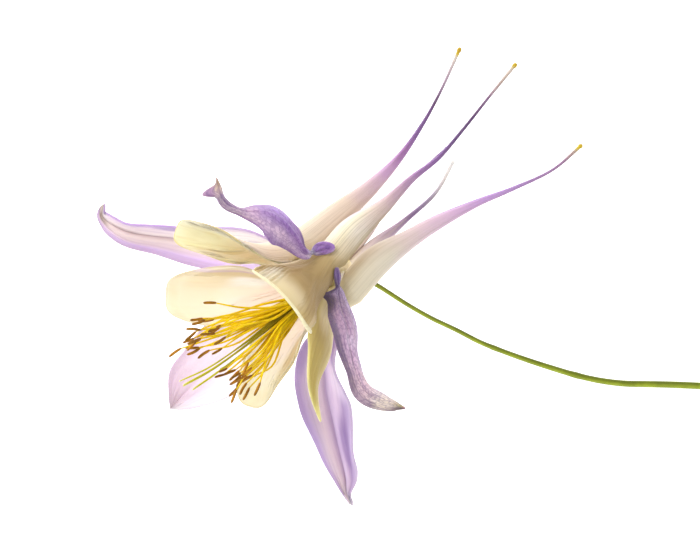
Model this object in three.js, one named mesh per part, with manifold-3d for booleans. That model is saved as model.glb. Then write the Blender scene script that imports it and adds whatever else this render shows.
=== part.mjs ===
// A columbine flower picked with its stalk, lying on its side on a level surface.
// Five hollow-spurred petals and five petal-like sepals grow in turn round a small
// green receptacle, with a brush of stamens and five long styles in the middle.
// Millimetres, +Z up. The flower's own points are measured from the receptacle.
import * as THREE from "three";
import { mergeVertices } from "three/addons/utils/BufferGeometryUtils.js";
import Module from "manifold-3d";

const wasm = await Module();
wasm.setup();

// ---- driving dimensions ----
const RECEPTACLE_AT = [-16.9, 1.6, 22]; // the receptacle in the part's frame
const AXIS_TURN = 40; // degrees from +X to the flower's axis, seen from above
const AXIS_DIP = 20; // degrees that the spur end dips below the level
const WHORL_TURN = 17; // degrees that the first petal leans round from straight up
const WALL = 0.62; // thickness of petals and sepals
const SEAT_CIRCLE = 2.1; // where petals and sepals meet the receptacle
const CLAW_RADIUS = 0.42; // of the thin claw under each sepal
const CLAW_FORWARD = 0.4;
const HEEL_RADIUS = 0.45; // of the short heel that carries each petal's throat
const HEEL_FORWARD = 1.5;
const HEEL_AT = 0.97; // where the heel grows into the throat, with the mouth of it at 1
const STAMENS = 40;
const STAMEN_LENGTH = 19;
const FILAMENT_RADIUS = 0.24;
const ANTHER_LENGTH = 2.3;
const ANTHER_RADIUS = 0.36;
const CARPELS = 5;
const CARPEL_LENGTH = 13;
const CARPEL_RADIUS = 0.52;
const STYLE_REACH = 33; // from the receptacle's middle to the tips of the styles
const STYLE_RADIUS = 0.26;

const TURN = Math.PI * 2;
const radians = (degrees) => (degrees * Math.PI) / 180;
const V = (x, y, z) => new THREE.Vector3(x, y, z);

// ---- the flower's own directions ----
const turn = radians(AXIS_TURN);
const dip = radians(AXIS_DIP);
const BACK = V(Math.cos(turn) * Math.cos(dip), Math.sin(turn) * Math.cos(dip), -Math.sin(dip));
const ASIDE = V(-Math.sin(turn), Math.cos(turn), 0);
const UPWARD = V(0, 0, 1).addScaledVector(BACK, -BACK.z).normalize();

// Unit vector away from the axis, at an angle from straight up towards ASIDE.
function outward(degrees) {
  const a = radians(degrees);
  return ASIDE.clone().multiplyScalar(Math.sin(a)).addScaledVector(UPWARD, Math.cos(a));
}

// A point by its angle round the axis, distance from it, and distance forward of the receptacle.
function around(degrees, radius, forward) {
  return outward(degrees).multiplyScalar(radius).addScaledVector(BACK, -forward);
}

// ---- curves ----
const list = (p) => (p.isVector3 ? p.toArray() : Array.isArray(p) ? p : [p]);

// Smooth curve through evenly spaced values, at t from 0 to 1, as an array.
function along(values, t) {
  const rows = values.map(list);
  if (rows.length === 1) return rows[0];
  const last = rows.length - 1;
  const i = Math.min(last - 1, Math.max(0, Math.floor(t * last)));
  const u = t * last - i;
  const beyond = (a, b) => a.map((x, k) => 2 * x - b[k]);
  const p1 = rows[i];
  const p2 = rows[i + 1];
  const p0 = i > 0 ? rows[i - 1] : beyond(p1, p2);
  const p3 = i + 2 <= last ? rows[i + 2] : beyond(p2, p1);
  return p1.map((x, k) => {
    const a = 2 * x;
    const b = p2[k] - p0[k];
    const c = 2 * p0[k] - 5 * x + 4 * p2[k] - p3[k];
    const d = 3 * x - p0[k] - 3 * p2[k] + p3[k];
    return (a + b * u + c * u * u + d * u * u * u) / 2;
  });
}
const point = (values, t) => V(...along(values, t));
const number = (values, t) => along(values, t)[0];
const blend = (a, b, share) => a + (b - a) * share;
const ease = (x) => x * x * (3 - 2 * x);

// Place, heading, back-of-blade direction and sideways direction on a midline at t.
function frameAt(midline, backs, t) {
  const step = 0.004;
  const from = point(midline, Math.max(0, t - step));
  const to = point(midline, Math.min(1, t + step));
  const heading = to.sub(from).normalize();
  const back = point(backs, t);
  back.addScaledVector(heading, -back.dot(heading)).normalize();
  return { at: point(midline, t), back, side: heading.clone().cross(back) };
}

// A point on a curled strip: across runs from -1 to 1, curl is the half angle of its arc.
function onStrip(frame, halfWidth, curl, across) {
  const k = Math.abs(curl) < 0.02 ? 0.02 : curl;
  return frame.at
    .clone()
    .addScaledVector(frame.side, (halfWidth * Math.sin(k * across)) / k)
    .addScaledVector(frame.back, (-halfWidth * (1 - Math.cos(k * across))) / k);
}

// ---- closed solids from rings of points ----
// flipped(ring) says which rings have their squares split along the other diagonal.
function loft(rings, flipped = () => false) {
  const n = rings[0].length;
  const vertices = rings.flat();
  const faces = [];
  for (let i = 0; i + 1 < rings.length; i++) {
    for (let j = 0; j < n; j++) {
      const a = i * n + j;
      const b = i * n + ((j + 1) % n);
      const c = b + n;
      const d = a + n;
      if (flipped(i, j)) faces.push(a, b, d, b, c, d);
      else faces.push(a, b, c, a, c, d);
    }
  }
  const middle = (ring) => ring.reduce((sum, p) => sum.add(p), V(0, 0, 0)).divideScalar(n);
  const first = vertices.push(middle(rings[0])) - 1;
  const last = vertices.push(middle(rings[rings.length - 1])) - 1;
  const top = (rings.length - 1) * n;
  for (let j = 0; j < n; j++) {
    const next = (j + 1) % n;
    faces.push(first, next, j);
    faces.push(last, top + j, top + next);
  }
  const geometry = new THREE.BufferGeometry();
  geometry.setAttribute(
    "position",
    new THREE.Float32BufferAttribute(vertices.flatMap((p) => p.toArray()), 3),
  );
  geometry.setIndex(faces);
  return geometry;
}

// A round stalk along a midline, with its radius at evenly spaced places.
function stalk(midline, radii, steps, sides) {
  const rings = [];
  let side = V(0.31, 0.17, 0.93);
  for (let i = 0; i <= steps; i++) {
    const t = i / steps;
    const { at, side: across, back } = frameAt(midline, [side, side], t);
    side = back.clone();
    const r = number(radii, t);
    const ring = [];
    for (let j = 0; j < sides; j++) {
      const a = (TURN * j) / sides;
      ring.push(
        at.clone().addScaledVector(back, r * Math.cos(a)).addScaledVector(across, r * Math.sin(a)),
      );
    }
    rings.push(ring);
  }
  return loft(rings);
}

function solidOf(geometry) {
  const bare = new THREE.BufferGeometry();
  bare.setAttribute("position", geometry.getAttribute("position"));
  bare.setIndex(geometry.getIndex());
  const merged = mergeVertices(bare, 1e-4);
  const made = new wasm.Manifold(
    new wasm.Mesh({
      numProp: 3,
      vertProperties: merged.attributes.position.array,
      triVerts: new Uint32Array(merged.index.array),
    }),
  );
  if (made.volume() > 0) return made;
  const turned = new Uint32Array(merged.index.array);
  for (let i = 0; i < turned.length; i += 3) {
    [turned[i + 1], turned[i + 2]] = [turned[i + 2], turned[i + 1]];
  }
  return new wasm.Manifold(
    new wasm.Mesh({
      numProp: 3,
      vertProperties: merged.attributes.position.array,
      triVerts: turned,
    }),
  );
}

function geometryOf(solid) {
  const mesh = solid.getMesh();
  const places = new Float32Array(mesh.numVert * 3);
  for (let i = 0; i < mesh.numVert; i++) {
    places.set(mesh.vertProperties.subarray(i * mesh.numProp, i * mesh.numProp + 3), i * 3);
  }
  const geometry = new THREE.BufferGeometry();
  geometry.setAttribute("position", new THREE.BufferAttribute(places, 3));
  geometry.setIndex(new THREE.BufferAttribute(mesh.triVerts, 1));
  return geometry;
}

// The main body of a joined solid, without slivers or pockets that its crossing pieces seal in.
function mainBody(bundle) {
  return bundle.decompose().reduce((most, body) => (body.volume() > most.volume() ? body : most));
}

// Everything below the surface that the flower lies on, which the lowest points are flattened by.
const FLOOR_BOX = (() => {
  const size = 400;
  const box = new THREE.BoxGeometry(size, size, size);
  box.translate(0, 0, -RECEPTACLE_AT[2] - size / 2);
  box.deleteAttribute("normal");
  box.deleteAttribute("uv");
  return solidOf(box);
})();
const flattened = (solid) => solid.subtract(FLOOR_BOX);

// ---- petals: a nectar spur that widens into a throat and opens into a blade ----
const PETAL_SIDES = 16;
const SPUR_RINGS = 10;
const LIMB_RINGS = 6;
const SPUR_HOLLOW_FROM = 1.45; // a spur thinner than this radius is solid here
const THROAT_REACH = 0.1; // share of the blade's length where the throat is still a tube

const petals = {
  petal_front: {
    turned: 0,
    spur: [
      [28.5, 33.2, -3], [23.9, 27.9, -0.6], [19.6, 22.5, 1.4], [15.6, 18, 3],
      [11.6, 14.5, 4.2], [7.2, 10.2, 5.2], [3, 6, 6], [-0.9, 2, 6.6],
    ],
    radii: [0.5, 0.36, 0.36, 0.42, 0.64, 1.2, 1.87, 2.35],
    blade: [[-3.4, -0.2, 11], [-5.9, -2.4, 14], [-8.4, -4.7, 16.5]],
    backs: [[0.25, 0.35, 0.9], [0.3, 0.35, 0.88], [0.35, 0.35, 0.87]],
    halfWidths: [5.7, 7.2, 7.8],
    curls: [95, 62, 42],
    tip: 5,
  },
  petal_upper: {
    turned: 72,
    spur: [
      [19.7, 36.2, -12.5], [16.5, 29.4, -10.8], [13.2, 23.6, -9], [9.3, 18.3, -7],
      [4.8, 13, -4.6], [-0.3, 8.8, -2], [-5.8, 4.2, 0.6],
    ],
    radii: [0.5, 0.36, 0.44, 0.72, 1.35, 2.05, 2.6],
    blade: [[-11.3, 4, 3.5], [-16, 4.3, 6], [-20.4, 5.4, 8], [-25, 6.9, 9.5]],
    backs: [[-0.45, 0.85, 0.25], [-0.2, 0.75, -0.3], [0, 0.55, -0.8], [0.1, 0.5, -0.85]],
    halfWidths: [6.2, 5.6, 4.6, 3.8],
    curls: [95, 75, 55, 40],
    tip: 3.2,
  },
  petal_lower: {
    turned: -72,
    spur: [
      [39.3, 20.3, -8], [34.2, 16.2, -7], [28.2, 13.4, -5.4], [22.2, 10.8, -3.6],
      [16.2, 7.9, -1.7], [11, 4.8, 0.2], [6.2, 1.1, 1.6], [2.1, -3.4, 2.6],
    ],
    radii: [0.5, 0.36, 0.42, 0.68, 1.15, 1.6, 2.2, 2.4],
    blade: [[-0.5, -7.6, 4], [-1.4, -12.7, 6.2], [-3.4, -18.4, 7.8], [-2.8, -24.4, 8]],
    backs: [[0.9, -0.1, 0.3], [0.93, 0.05, 0.3], [0.9, 0.15, 0.35], [0.85, 0.3, 0.4]],
    halfWidths: [5.1, 4.9, 2.6, 1.2],
    curls: [90, 80, 65, 55],
    tip: 2.4,
  },
  petal_back_upper: {
    turned: 144,
    spur: [
      [18.2, 19.9, -21.6], [13.2, 16.1, -18.6], [8.4, 11.9, -15.4], [3.9, 7.5, -12],
      [-0.5, 3.3, -8.6], [-4.5, -0.6, -5.4],
    ],
    radii: [0.5, 0.4, 0.5, 0.9, 1.5, 2.1],
    blade: [[-9.9, -2.6, -9], [-15.6, -3.5, -11], [-21.5, -4.5, -12], [-27.8, -5, -12]],
    backs: [[-0.15, 0.1, -0.97], [-0.05, 0.1, -1], [-0.1, 0.05, -1], [-0.1, 0, -1]],
    halfWidths: [4.6, 5.4, 5.3, 4.6],
    curls: [90, 55, 35, 25],
    tip: 3.6,
  },
  petal_back_lower: {
    turned: -144,
    spur: [
      [18.7, 17.6, -21.6], [15.2, 12.5, -18.4], [10.1, 7.9, -14.8], [5.7, 3.8, -11.2],
      [2.4, -0.6, -7.4], [0.3, -5.3, -3.6],
    ],
    radii: [0.5, 0.4, 0.55, 1.15, 1.85, 2],
    blade: [[-5.2, -8.4, -6.8], [-9.4, -12.3, -7.6], [-12.5, -17.1, -8], [-14.4, -22.3, -8]],
    backs: [[0.3, -0.3, -0.9], [0.1, -0.1, -1], [0.05, 0, -1], [0.05, 0, -1]],
    halfWidths: [3.7, 4.7, 4.6, 4.2],
    curls: [90, 55, 35, 20],
    tip: 3,
  },
};

// A point on a petal's outer face. s runs from the spur's tip at 0 over the throat at 1 to the rim at 2.
function petalPoint(petal, s, round) {
  const out = outward(WHORL_TURN + petal.turned);
  if (s <= 1) {
    const r = number(petal.radii, s);
    const frame = frameAt(petal.spur, [out, out], s);
    frame.at.addScaledVector(frame.back, r);
    return onStrip(frame, r * Math.PI, Math.PI, round);
  }
  const throat = frameAt(petal.spur, [out, out], 1);
  const wide = petal.radii[petal.radii.length - 1];
  const midline = [throat.at.addScaledVector(throat.back, wide), ...petal.blade];
  const backs = [throat.back, ...petal.backs];
  const widths = [wide * Math.PI, ...petal.halfWidths];
  const curls = [180, ...petal.curls].map(radians);
  const q = s - 1;
  const quarter = (Math.abs(round) * Math.PI) / 2;
  const reach = blend(THROAT_REACH, 1, Math.max(0, Math.cos(quarter)) ** (2 / petal.tip));
  const edge = Math.sign(round) * Math.sin(quarter) ** (2 / petal.tip);
  const t = reach * q;
  const across = blend(round, edge, ease(q));
  return onStrip(frameAt(midline, backs, t), number(widths, t), number(curls, t), across);
}

function petalSolid(petal) {
  const outer = [];
  const normals = [];
  const rows = SPUR_RINGS + LIMB_RINGS;
  const place = (i) => (i <= SPUR_RINGS ? i / SPUR_RINGS : 1 + (i - SPUR_RINGS) / LIMB_RINGS);
  for (let i = 0; i <= rows; i++) {
    const ring = [];
    for (let j = 0; j < PETAL_SIDES; j++) ring.push(petalPoint(petal, place(i), (2 * j) / PETAL_SIDES - 1));
    outer.push(ring);
  }
  outer.forEach((ring, i) => {
    normals.push(
      ring.map((p, j) => {
        const before = outer[Math.max(0, i - 1)][j];
        const after = outer[Math.min(rows, i + 1)][j];
        const left = ring[(j + PETAL_SIDES - 1) % PETAL_SIDES];
        const right = ring[(j + 1) % PETAL_SIDES];
        return after.clone().sub(before).cross(right.clone().sub(left)).normalize();
      }),
    );
  });
  const radius = (i) => number(petal.radii, Math.min(1, place(i)));
  const inner = [];
  for (let i = rows; i >= 1 && radius(i) > SPUR_HOLLOW_FROM; i--) {
    inner.push(outer[i].map((p, j) => p.clone().addScaledVector(normals[i][j], WALL)));
  }
  const limb = solidOf(loft([...outer, ...inner], (i) => i > rows));
  const seat = around(WHORL_TURN + petal.turned, SEAT_CIRCLE, HEEL_FORWARD);
  const throatEdge = petalPoint(petal, HEEL_AT, 1);
  const into = outward(WHORL_TURN + petal.turned).multiplyScalar(WALL / 2);
  const heel = stalk([seat, throatEdge.add(into)], [HEEL_RADIUS], 3, 6);
  return mainBody(flattened(limb.add(solidOf(heel))));
}

// ---- sepals: flat leaf-like blades, each on a narrow claw between two spurs ----
const SEPAL_STEPS = 16;
const SEPAL_ACROSS = 6;

const sepals = {
  sepal_left: {
    turned: 108,
    groove: [-3.2, 2.7, -3.2],
    claw: 0.09,
    midline: [
      [-6.3, 2.6, -5.4], [-13.1, 4.1, -8], [-18.5, 4.2, -11], [-24.3, 4.7, -14],
      [-30.1, 5.5, -17], [-35.3, 6.4, -20], [-38.8, 8.7, -21.6], [-38.6, 11, -21.2],
    ],
    backs: [
      [0.1, 0.8, -0.5], [0, 0.75, -0.65], [0, 0.75, -0.65], [0, 0.75, -0.65], [0, 0.75, -0.65],
      [0.2, 0.6, -0.75], [0.6, 0.3, -0.7], [0.7, 0, -0.7],
    ],
    halfWidths: [0.6, 4.8, 6.2, 5.3, 4.1, 2.6, 1.2, 0.35],
    curls: [25, 25, 25, 25, 25, 25, 25, 25],
  },
  sepal_top: {
    turned: 36,
    groove: [-3.6, 4.6, 5],
    claw: 0.2,
    midline: [
      [-0.6, 3.5, 9.8], [-2.7, 3.4, 10], [-4.4, 2.8, 11.2], [-5.8, 3.5, 12.4],
      [-7.4, 6.1, 13.8], [-9.7, 8.3, 15.4], [-12.8, 9.2, 17], [-15.8, 10.1, 18.2],
      [-18.4, 11.6, 19], [-19.2, 14.3, 19.4],
    ],
    backs: [
      [0, 0.3, 0.9], [0, 0.2, 1], [0.3, 0.4, 0.8], [0.4, 0.6, 0.7], [0.4, 0.6, 0.7],
      [0.4, 0.65, 0.65], [0.45, 0.7, 0.5], [0.5, 0.7, 0.5], [0.6, 0.3, 0.7], [0.6, 0.1, 0.7],
    ],
    halfWidths: [0.35, 1.2, 0.7, 2.1, 3.2, 3.9, 2.9, 1.5, 1.2, 0.35],
    curls: [20, 30, 35, 35, 35, 35, 35, 35, 35, 35],
  },
  sepal_right: {
    turned: -36,
    groove: [0.6, -0.6, 3.8],
    claw: 0.16,
    midline: [
      [-0.1, 0.3, 9.4], [0.3, -1.3, 8.8], [0.7, -3.2, 7.6], [0.5, -5.7, 8.4], [1.3, -8.9, 11],
      [1.9, -12.4, 13.8], [2.7, -15.9, 16.2], [4.1, -19, 17.8], [6.9, -20.6, 18.6],
      [10.4, -21.7, 18.8],
    ],
    backs: [
      [0.6, 0.3, 0.7], [0.7, 0.2, 0.6], [0.6, 0.1, 0.7], [0.45, 0.1, 0.85], [0.6, 0.1, 0.75],
      [0.65, 0.1, 0.7], [0.6, 0.3, 0.7], [0.4, 0.4, 0.8], [0.3, 0.5, 0.8], [0.2, 0.5, 0.8],
    ],
    halfWidths: [0.35, 0.7, 0.8, 2.1, 2.9, 2.5, 1.7, 2, 1.6, 0.35],
    curls: [20, 20, 30, 45, 45, 45, 40, 30, 30, 20],
  },
  sepal_bottom: {
    turned: -108,
    groove: [1.8, -4.8, -1.2],
    claw: 0.04,
    midline: [
      [0.8, -6.4, -2], [-1, -10, -3.8], [-2.4, -13.9, -7], [-2.3, -18.1, -10],
      [-1.7, -22.2, -12.8], [-0.8, -26.2, -15.4], [0.1, -30.2, -18], [0.9, -33.9, -20],
      [1.3, -36.8, -21.6], [2.2, -38.7, -21.6],
    ],
    backs: [
      [0.9, 0.1, -0.35], [0.8, 0.1, -0.5], [0.68, 0.15, -0.7], [0.6, 0.15, -0.78],
      [0.6, 0.2, -0.78], [0.6, 0.2, -0.78], [0.6, 0.2, -0.78], [0.5, 0.3, -0.8],
      [0.4, 0.3, -0.8], [0.4, 0.3, -0.8],
    ],
    halfWidths: [0.5, 1.8, 4.4, 5.6, 5.5, 4.9, 3.9, 2.3, 0.8, 0.35],
    curls: [25, 25, 25, 25, 25, 25, 25, 25, 25, 25],
  },
  sepal_back: {
    turned: 180,
    groove: [-2.4, -2.7, -5.2],
    claw: 0.04,
    midline: [
      [-3.9, -3.7, -8], [-8.3, -6.1, -11], [-13.2, -9.7, -13.8], [-18, -13.7, -16.4],
      [-22.1, -17.3, -18.6], [-25.5, -20.5, -20.5], [-27.8, -22.8, -21.8],
    ],
    backs: [
      [0.27, 0.22, -0.93], [0.27, 0.22, -0.93], [0.27, 0.22, -0.93], [0.27, 0.22, -0.93],
      [0.27, 0.22, -0.93], [0.27, 0.22, -0.93], [0.27, 0.22, -0.93],
    ],
    halfWidths: [0.6, 4, 6, 6.2, 5, 2.8, 0.35],
    curls: [20, 20, 20, 20, 20, 20, 20],
  },
};

// A strip round the midline, and a thin claw that carries it from the receptacle.
function sepalSolid(sepal) {
  const { midline, backs, halfWidths } = sepal;
  const curls = sepal.curls.map(radians);
  const rings = [];
  for (let i = 0; i <= SEPAL_STEPS; i++) {
    const t = i / SEPAL_STEPS;
    const frame = frameAt(midline, backs, t);
    const halfWidth = Math.max(0.3, number(halfWidths, t));
    const line = [];
    for (let j = 0; j <= SEPAL_ACROSS; j++) {
      line.push(onStrip(frame, halfWidth, number(curls, t), (2 * j) / SEPAL_ACROSS - 1));
    }
    const half = frame.back.clone().multiplyScalar(WALL / 2);
    const outer = line.map((p) => p.clone().add(half));
    const inner = line.map((p) => p.clone().sub(half)).reverse();
    rings.push([...outer, ...inner]);
  }
  const blade = solidOf(loft(rings, (i, j) => j > SEPAL_ACROSS));
  const seat = around(WHORL_TURN + sepal.turned, SEAT_CIRCLE, CLAW_FORWARD);
  const join = point(midline, sepal.claw);
  const claw = stalk([seat, sepal.groove, join], [CLAW_RADIUS], 6, 6);
  return mainBody(flattened(blade.add(solidOf(claw))));
}

// ---- pistil and stamens ----
// A number from 0 to 1 that looks random but is the same for the same n.
function scatter(n) {
  const x = Math.sin(n * 12.9898) * 43758.5453;
  return x - Math.floor(x);
}
const GOLDEN_ANGLE = 137.508;
const COLUMN_FORWARD = 3.7; // the front of the receptacle
const BRUSH_LIFT = [-0.04, 0.05, 0.02]; // how far the brush leans off the axis per millimetre
const BRUSH_PARTING = 0.08; // how far each half of it leans away from the styles
const STYLE_LIFT = 1.4; // how far the tips of the styles lean off the axis

function stamen(i) {
  const share = Math.sqrt((i + 0.5) / STAMENS);
  const angle = i * GOLDEN_ANGLE;
  const length = STAMEN_LENGTH * (1.1 - 0.24 * share + 0.22 * scatter(i));
  const spread = radians(2 + 9 * share + 4 * scatter(i + 100));
  const half = Math.sign(Math.sin(radians(angle)));
  const lean = V(...BRUSH_LIFT).addScaledVector(ASIDE, BRUSH_PARTING * half);
  const root = around(angle, 1.5, COLUMN_FORWARD + 0.6);
  const out = outward(angle);
  const reach = (part, bend) =>
    root
      .clone()
      .addScaledVector(BACK, -length * part * Math.cos(spread * bend))
      .addScaledVector(out, length * part * Math.sin(spread * bend))
      .addScaledVector(lean, length * part * part);
  const neck = reach(1, 1);
  const filament = stalk(
    [root, reach(0.33, 0.75), reach(0.67, 0.95), neck],
    [FILAMENT_RADIUS * 1.1, FILAMENT_RADIUS, FILAMENT_RADIUS, FILAMENT_RADIUS * 0.85],
    4,
    3,
  );
  const heading = neck.clone().sub(reach(0.85, 1)).normalize();
  heading.addScaledVector(out, 0.5 * (scatter(i + 200) - 0.3)).normalize();
  const tip = neck.clone().addScaledVector(heading, ANTHER_LENGTH);
  const start = neck.clone().addScaledVector(heading, -0.15);
  const anther = stalk([start, neck.lerp(tip, 0.5), tip], [0.16, ANTHER_RADIUS, 0.16], 3, 4);
  return [solidOf(filament), solidOf(anther)];
}

function stamensSolid() {
  const ring = stalk(
    [around(0, 0, COLUMN_FORWARD + 0.3), around(0, 0, COLUMN_FORWARD + 1.5)],
    [2.0, 1.8],
    1,
    20,
  );
  const bore = stalk(
    [around(0, 0, COLUMN_FORWARD - 1), around(0, 0, COLUMN_FORWARD + 3)],
    [1.2, 1.2],
    1,
    12,
  );
  const column = solidOf(ring).subtract(solidOf(bore));
  const parts = [column];
  for (let i = 0; i < STAMENS; i++) parts.push(...stamen(i));
  return mainBody(wasm.Manifold.union(parts));
}

function pistilSolid() {
  const parts = [];
  for (let i = 0; i < CARPELS; i++) {
    const angle = (360 / CARPELS) * i + 20;
    const end = COLUMN_FORWARD + 0.3 + CARPEL_LENGTH;
    const body = stalk(
      [
        around(angle, 0.4, COLUMN_FORWARD + 0.3),
        around(angle, 0.5, COLUMN_FORWARD + 4),
        around(angle, 0.55, end),
      ],
      [0.42, CARPEL_RADIUS, STYLE_RADIUS],
      5,
      6,
    );
    const style = stalk(
      [
        around(angle, 0.55, end - 0.8),
        around(angle, 0.7, blend(end, STYLE_REACH, 0.5)).addScaledVector(ASIDE, STYLE_LIFT / 4),
        around(angle, 1.3, STYLE_REACH - 1.5 * scatter(i + 7)).addScaledVector(ASIDE, STYLE_LIFT),
      ],
      [STYLE_RADIUS, STYLE_RADIUS, STYLE_RADIUS * 0.8],
      5,
      4,
    );
    parts.push(solidOf(body), solidOf(style));
  }
  const heart = stalk(
    [around(0, 0, COLUMN_FORWARD + 0.3), around(0, 0, COLUMN_FORWARD + 6)],
    [0.7, 0.5],
    2,
    8,
  );
  parts.push(solidOf(heart));
  return mainBody(wasm.Manifold.union(parts));
}

// ---- receptacle and stalk, grown as one ----
function stemSolid() {
  const path = [
    [0.8, 0.6, -1],
    [1.9, 0.5, -2.7],
    [3.5, -0.6, -3.9],
    [5.1, -1.8, -4.7],
    [7.2, -3.1, -5.6],
    [11.1, -5.6, -7.6],
    [15, -7.8, -9.6],
    [19, -9.7, -11.5],
    [22.9, -11.7, -13.3],
    [26.9, -13.3, -15],
    [30.8, -14.7, -16.6],
    [34.8, -16, -18],
    [38.8, -17.2, -19.3],
    [42.8, -18.1, -20.4],
    [46.8, -18.6, -21.2],
    [50.7, -18.7, -21.6],
    [54.7, -18.8, -21.6],
    [59.3, -19, -21.6],
    [64.2, -19.3, -21.6],
    [69.1, -19.5, -21.6],
    [74.1, -19.3, -21.6],
  ];
  const radii = [0.6, 0.42, 0.36, 0.38, 0.44, 0.5, 0.53, 0.55, 0.55];
  const pedicel = stalk(path, radii, 48, 8);
  const head = stalk(
    [
      around(0, 0, COLUMN_FORWARD),
      around(0, 0, 2),
      around(0, 0, 0.2),
      around(0, 0, -1),
      around(0, 0, -2.3),
    ],
    [1.55, 1.7, 1.7, 1.1, 0.5],
    8,
    12,
  );
  return flattened(solidOf(head).add(solidOf(pedicel)));
}

// ---- the scene graph ----
const finishes = {
  cream: { color: 0xe6d6ac, roughness: 0.6 },
  lavender: { color: 0xb79acb, roughness: 0.6 },
  yellow: { color: 0xe3b51a, roughness: 0.5 },
  pistilGreen: { color: 0x9da838, roughness: 0.5 },
  stemGreen: { color: 0x6d7d24, roughness: 0.5 },
};

const flower = new THREE.Group();
flower.position.set(...RECEPTACLE_AT);

function addNode(name, solid, finish) {
  const material = new THREE.MeshStandardMaterial({ ...finishes[finish], metalness: 0 });
  const mesh = new THREE.Mesh(geometryOf(solid), material);
  mesh.name = name;
  flower.add(mesh);
}

for (const [name, petal] of Object.entries(petals)) addNode(name, petalSolid(petal), "cream");
for (const [name, sepal] of Object.entries(sepals)) addNode(name, sepalSolid(sepal), "lavender");
addNode("stamens", stamensSolid(), "yellow");
addNode("pistil", pistilSolid(), "pistilGreen");
addNode("stem", stemSolid(), "stemGreen");

const part = new THREE.Group();
part.add(flower);
export default part;
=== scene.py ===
# %% [markdown]
# # A columbine flower on its cut stalk
#
# A columbine has five petals and five sepals that look like petals. Each petal is a
# hollow nectar spur that widens into a throat and opens into a blade. The sepals stand
# between them, and a brush of stamens fills the middle. This notebook builds all of it
# by bending flat grids with formulas, because a petal is a thin sheet and every fold
# of it is then one number that can be changed.
#
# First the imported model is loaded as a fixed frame. Everything below is in metres,
# in the same frame, with +Z up.

# %% Load the frame
import math

import bmesh
import bpy
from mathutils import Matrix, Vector, noise


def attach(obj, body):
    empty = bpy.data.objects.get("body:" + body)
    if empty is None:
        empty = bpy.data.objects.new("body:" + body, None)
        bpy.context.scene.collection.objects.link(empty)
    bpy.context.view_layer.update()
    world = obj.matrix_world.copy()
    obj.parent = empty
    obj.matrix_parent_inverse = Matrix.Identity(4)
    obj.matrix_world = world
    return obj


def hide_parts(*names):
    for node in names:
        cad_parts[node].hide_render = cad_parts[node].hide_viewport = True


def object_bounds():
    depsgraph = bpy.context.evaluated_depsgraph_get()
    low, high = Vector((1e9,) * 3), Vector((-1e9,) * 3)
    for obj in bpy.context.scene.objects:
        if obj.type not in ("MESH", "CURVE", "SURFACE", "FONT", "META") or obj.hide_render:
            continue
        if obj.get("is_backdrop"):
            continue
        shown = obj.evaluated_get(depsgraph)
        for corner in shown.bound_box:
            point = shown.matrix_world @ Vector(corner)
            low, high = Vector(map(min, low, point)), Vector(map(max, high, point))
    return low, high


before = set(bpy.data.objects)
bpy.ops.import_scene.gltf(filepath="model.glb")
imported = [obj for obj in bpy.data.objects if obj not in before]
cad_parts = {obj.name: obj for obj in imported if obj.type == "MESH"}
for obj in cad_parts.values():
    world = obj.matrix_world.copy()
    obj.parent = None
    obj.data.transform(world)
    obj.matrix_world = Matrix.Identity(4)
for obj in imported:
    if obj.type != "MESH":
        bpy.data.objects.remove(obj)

cad_box = [list(corner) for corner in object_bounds()]
print("nodes:", sorted(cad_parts))
print("box in mm:", [[round(c * 1000, 1) for c in corner] for corner in cad_box])

# %% [markdown]
# ## Camera
#
# The flower lies on a table and the camera looks straight down on it from 0.8 m above
# the middle of the flower. A picture 0.112 m wide at that distance needs a lens of
# 36 * 0.8 / 0.112 mm on a sensor 36 mm wide: a long lens, so the flower is hardly
# distorted. The picture is wider than it is high, so its width sets the field of view.

# %% Camera
MM = 0.001
RECEPTACLE_AT = Vector((-16.9, 1.6, 22.0))  # mm, the middle that all parts grow from
CAMERA_HEIGHT = 800.0  # mm above the receptacle
CAMERA_X = -15.14  # mm, which lets the end of the stalk run out of the picture
PICTURE_WIDTH = 112.0  # mm across at the height of the receptacle
SENSOR_WIDTH = 36.0  # mm

camera_data = bpy.data.cameras.new("camera_above")
camera_data.sensor_fit = "HORIZONTAL"
camera_data.sensor_width = SENSOR_WIDTH
camera_data.lens = SENSOR_WIDTH * CAMERA_HEIGHT / PICTURE_WIDTH
camera_data.clip_start = 0.05
camera_data.clip_end = 20.0
camera = bpy.data.objects.new("camera_above", camera_data)
bpy.context.scene.collection.objects.link(camera)
camera.location = Vector((CAMERA_X, 0.0, RECEPTACLE_AT.z + CAMERA_HEIGHT)) * MM
bpy.context.scene.camera = camera
print("lens", round(camera_data.lens, 1), "mm at", [round(c, 3) for c in camera.location])

# %% [markdown]
# ## Nodes and colours
#
# Every material below is a small tree of nodes. `add_node` adds one node of any kind
# with its settings, its colour stops and its inputs. An input is a value or the output
# of another node. It goes by its name, or by n and its number where several inputs of
# a node have the same name. Shaders reckon in linear light, so colours are written as
# sRGB hex codes and one function turns them to linear.

# %% Nodes and colours
def linear(code, alpha=1.0):
    """An sRGB hex colour such as "e8d890" as the linear colour that shaders use."""
    parts = [int(code[i:i + 2], 16) / 255 for i in (0, 2, 4)]
    return (*[p / 12.92 if p <= 0.04045 else ((p + 0.055) / 1.055) ** 2.4 for p in parts], alpha)


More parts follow.
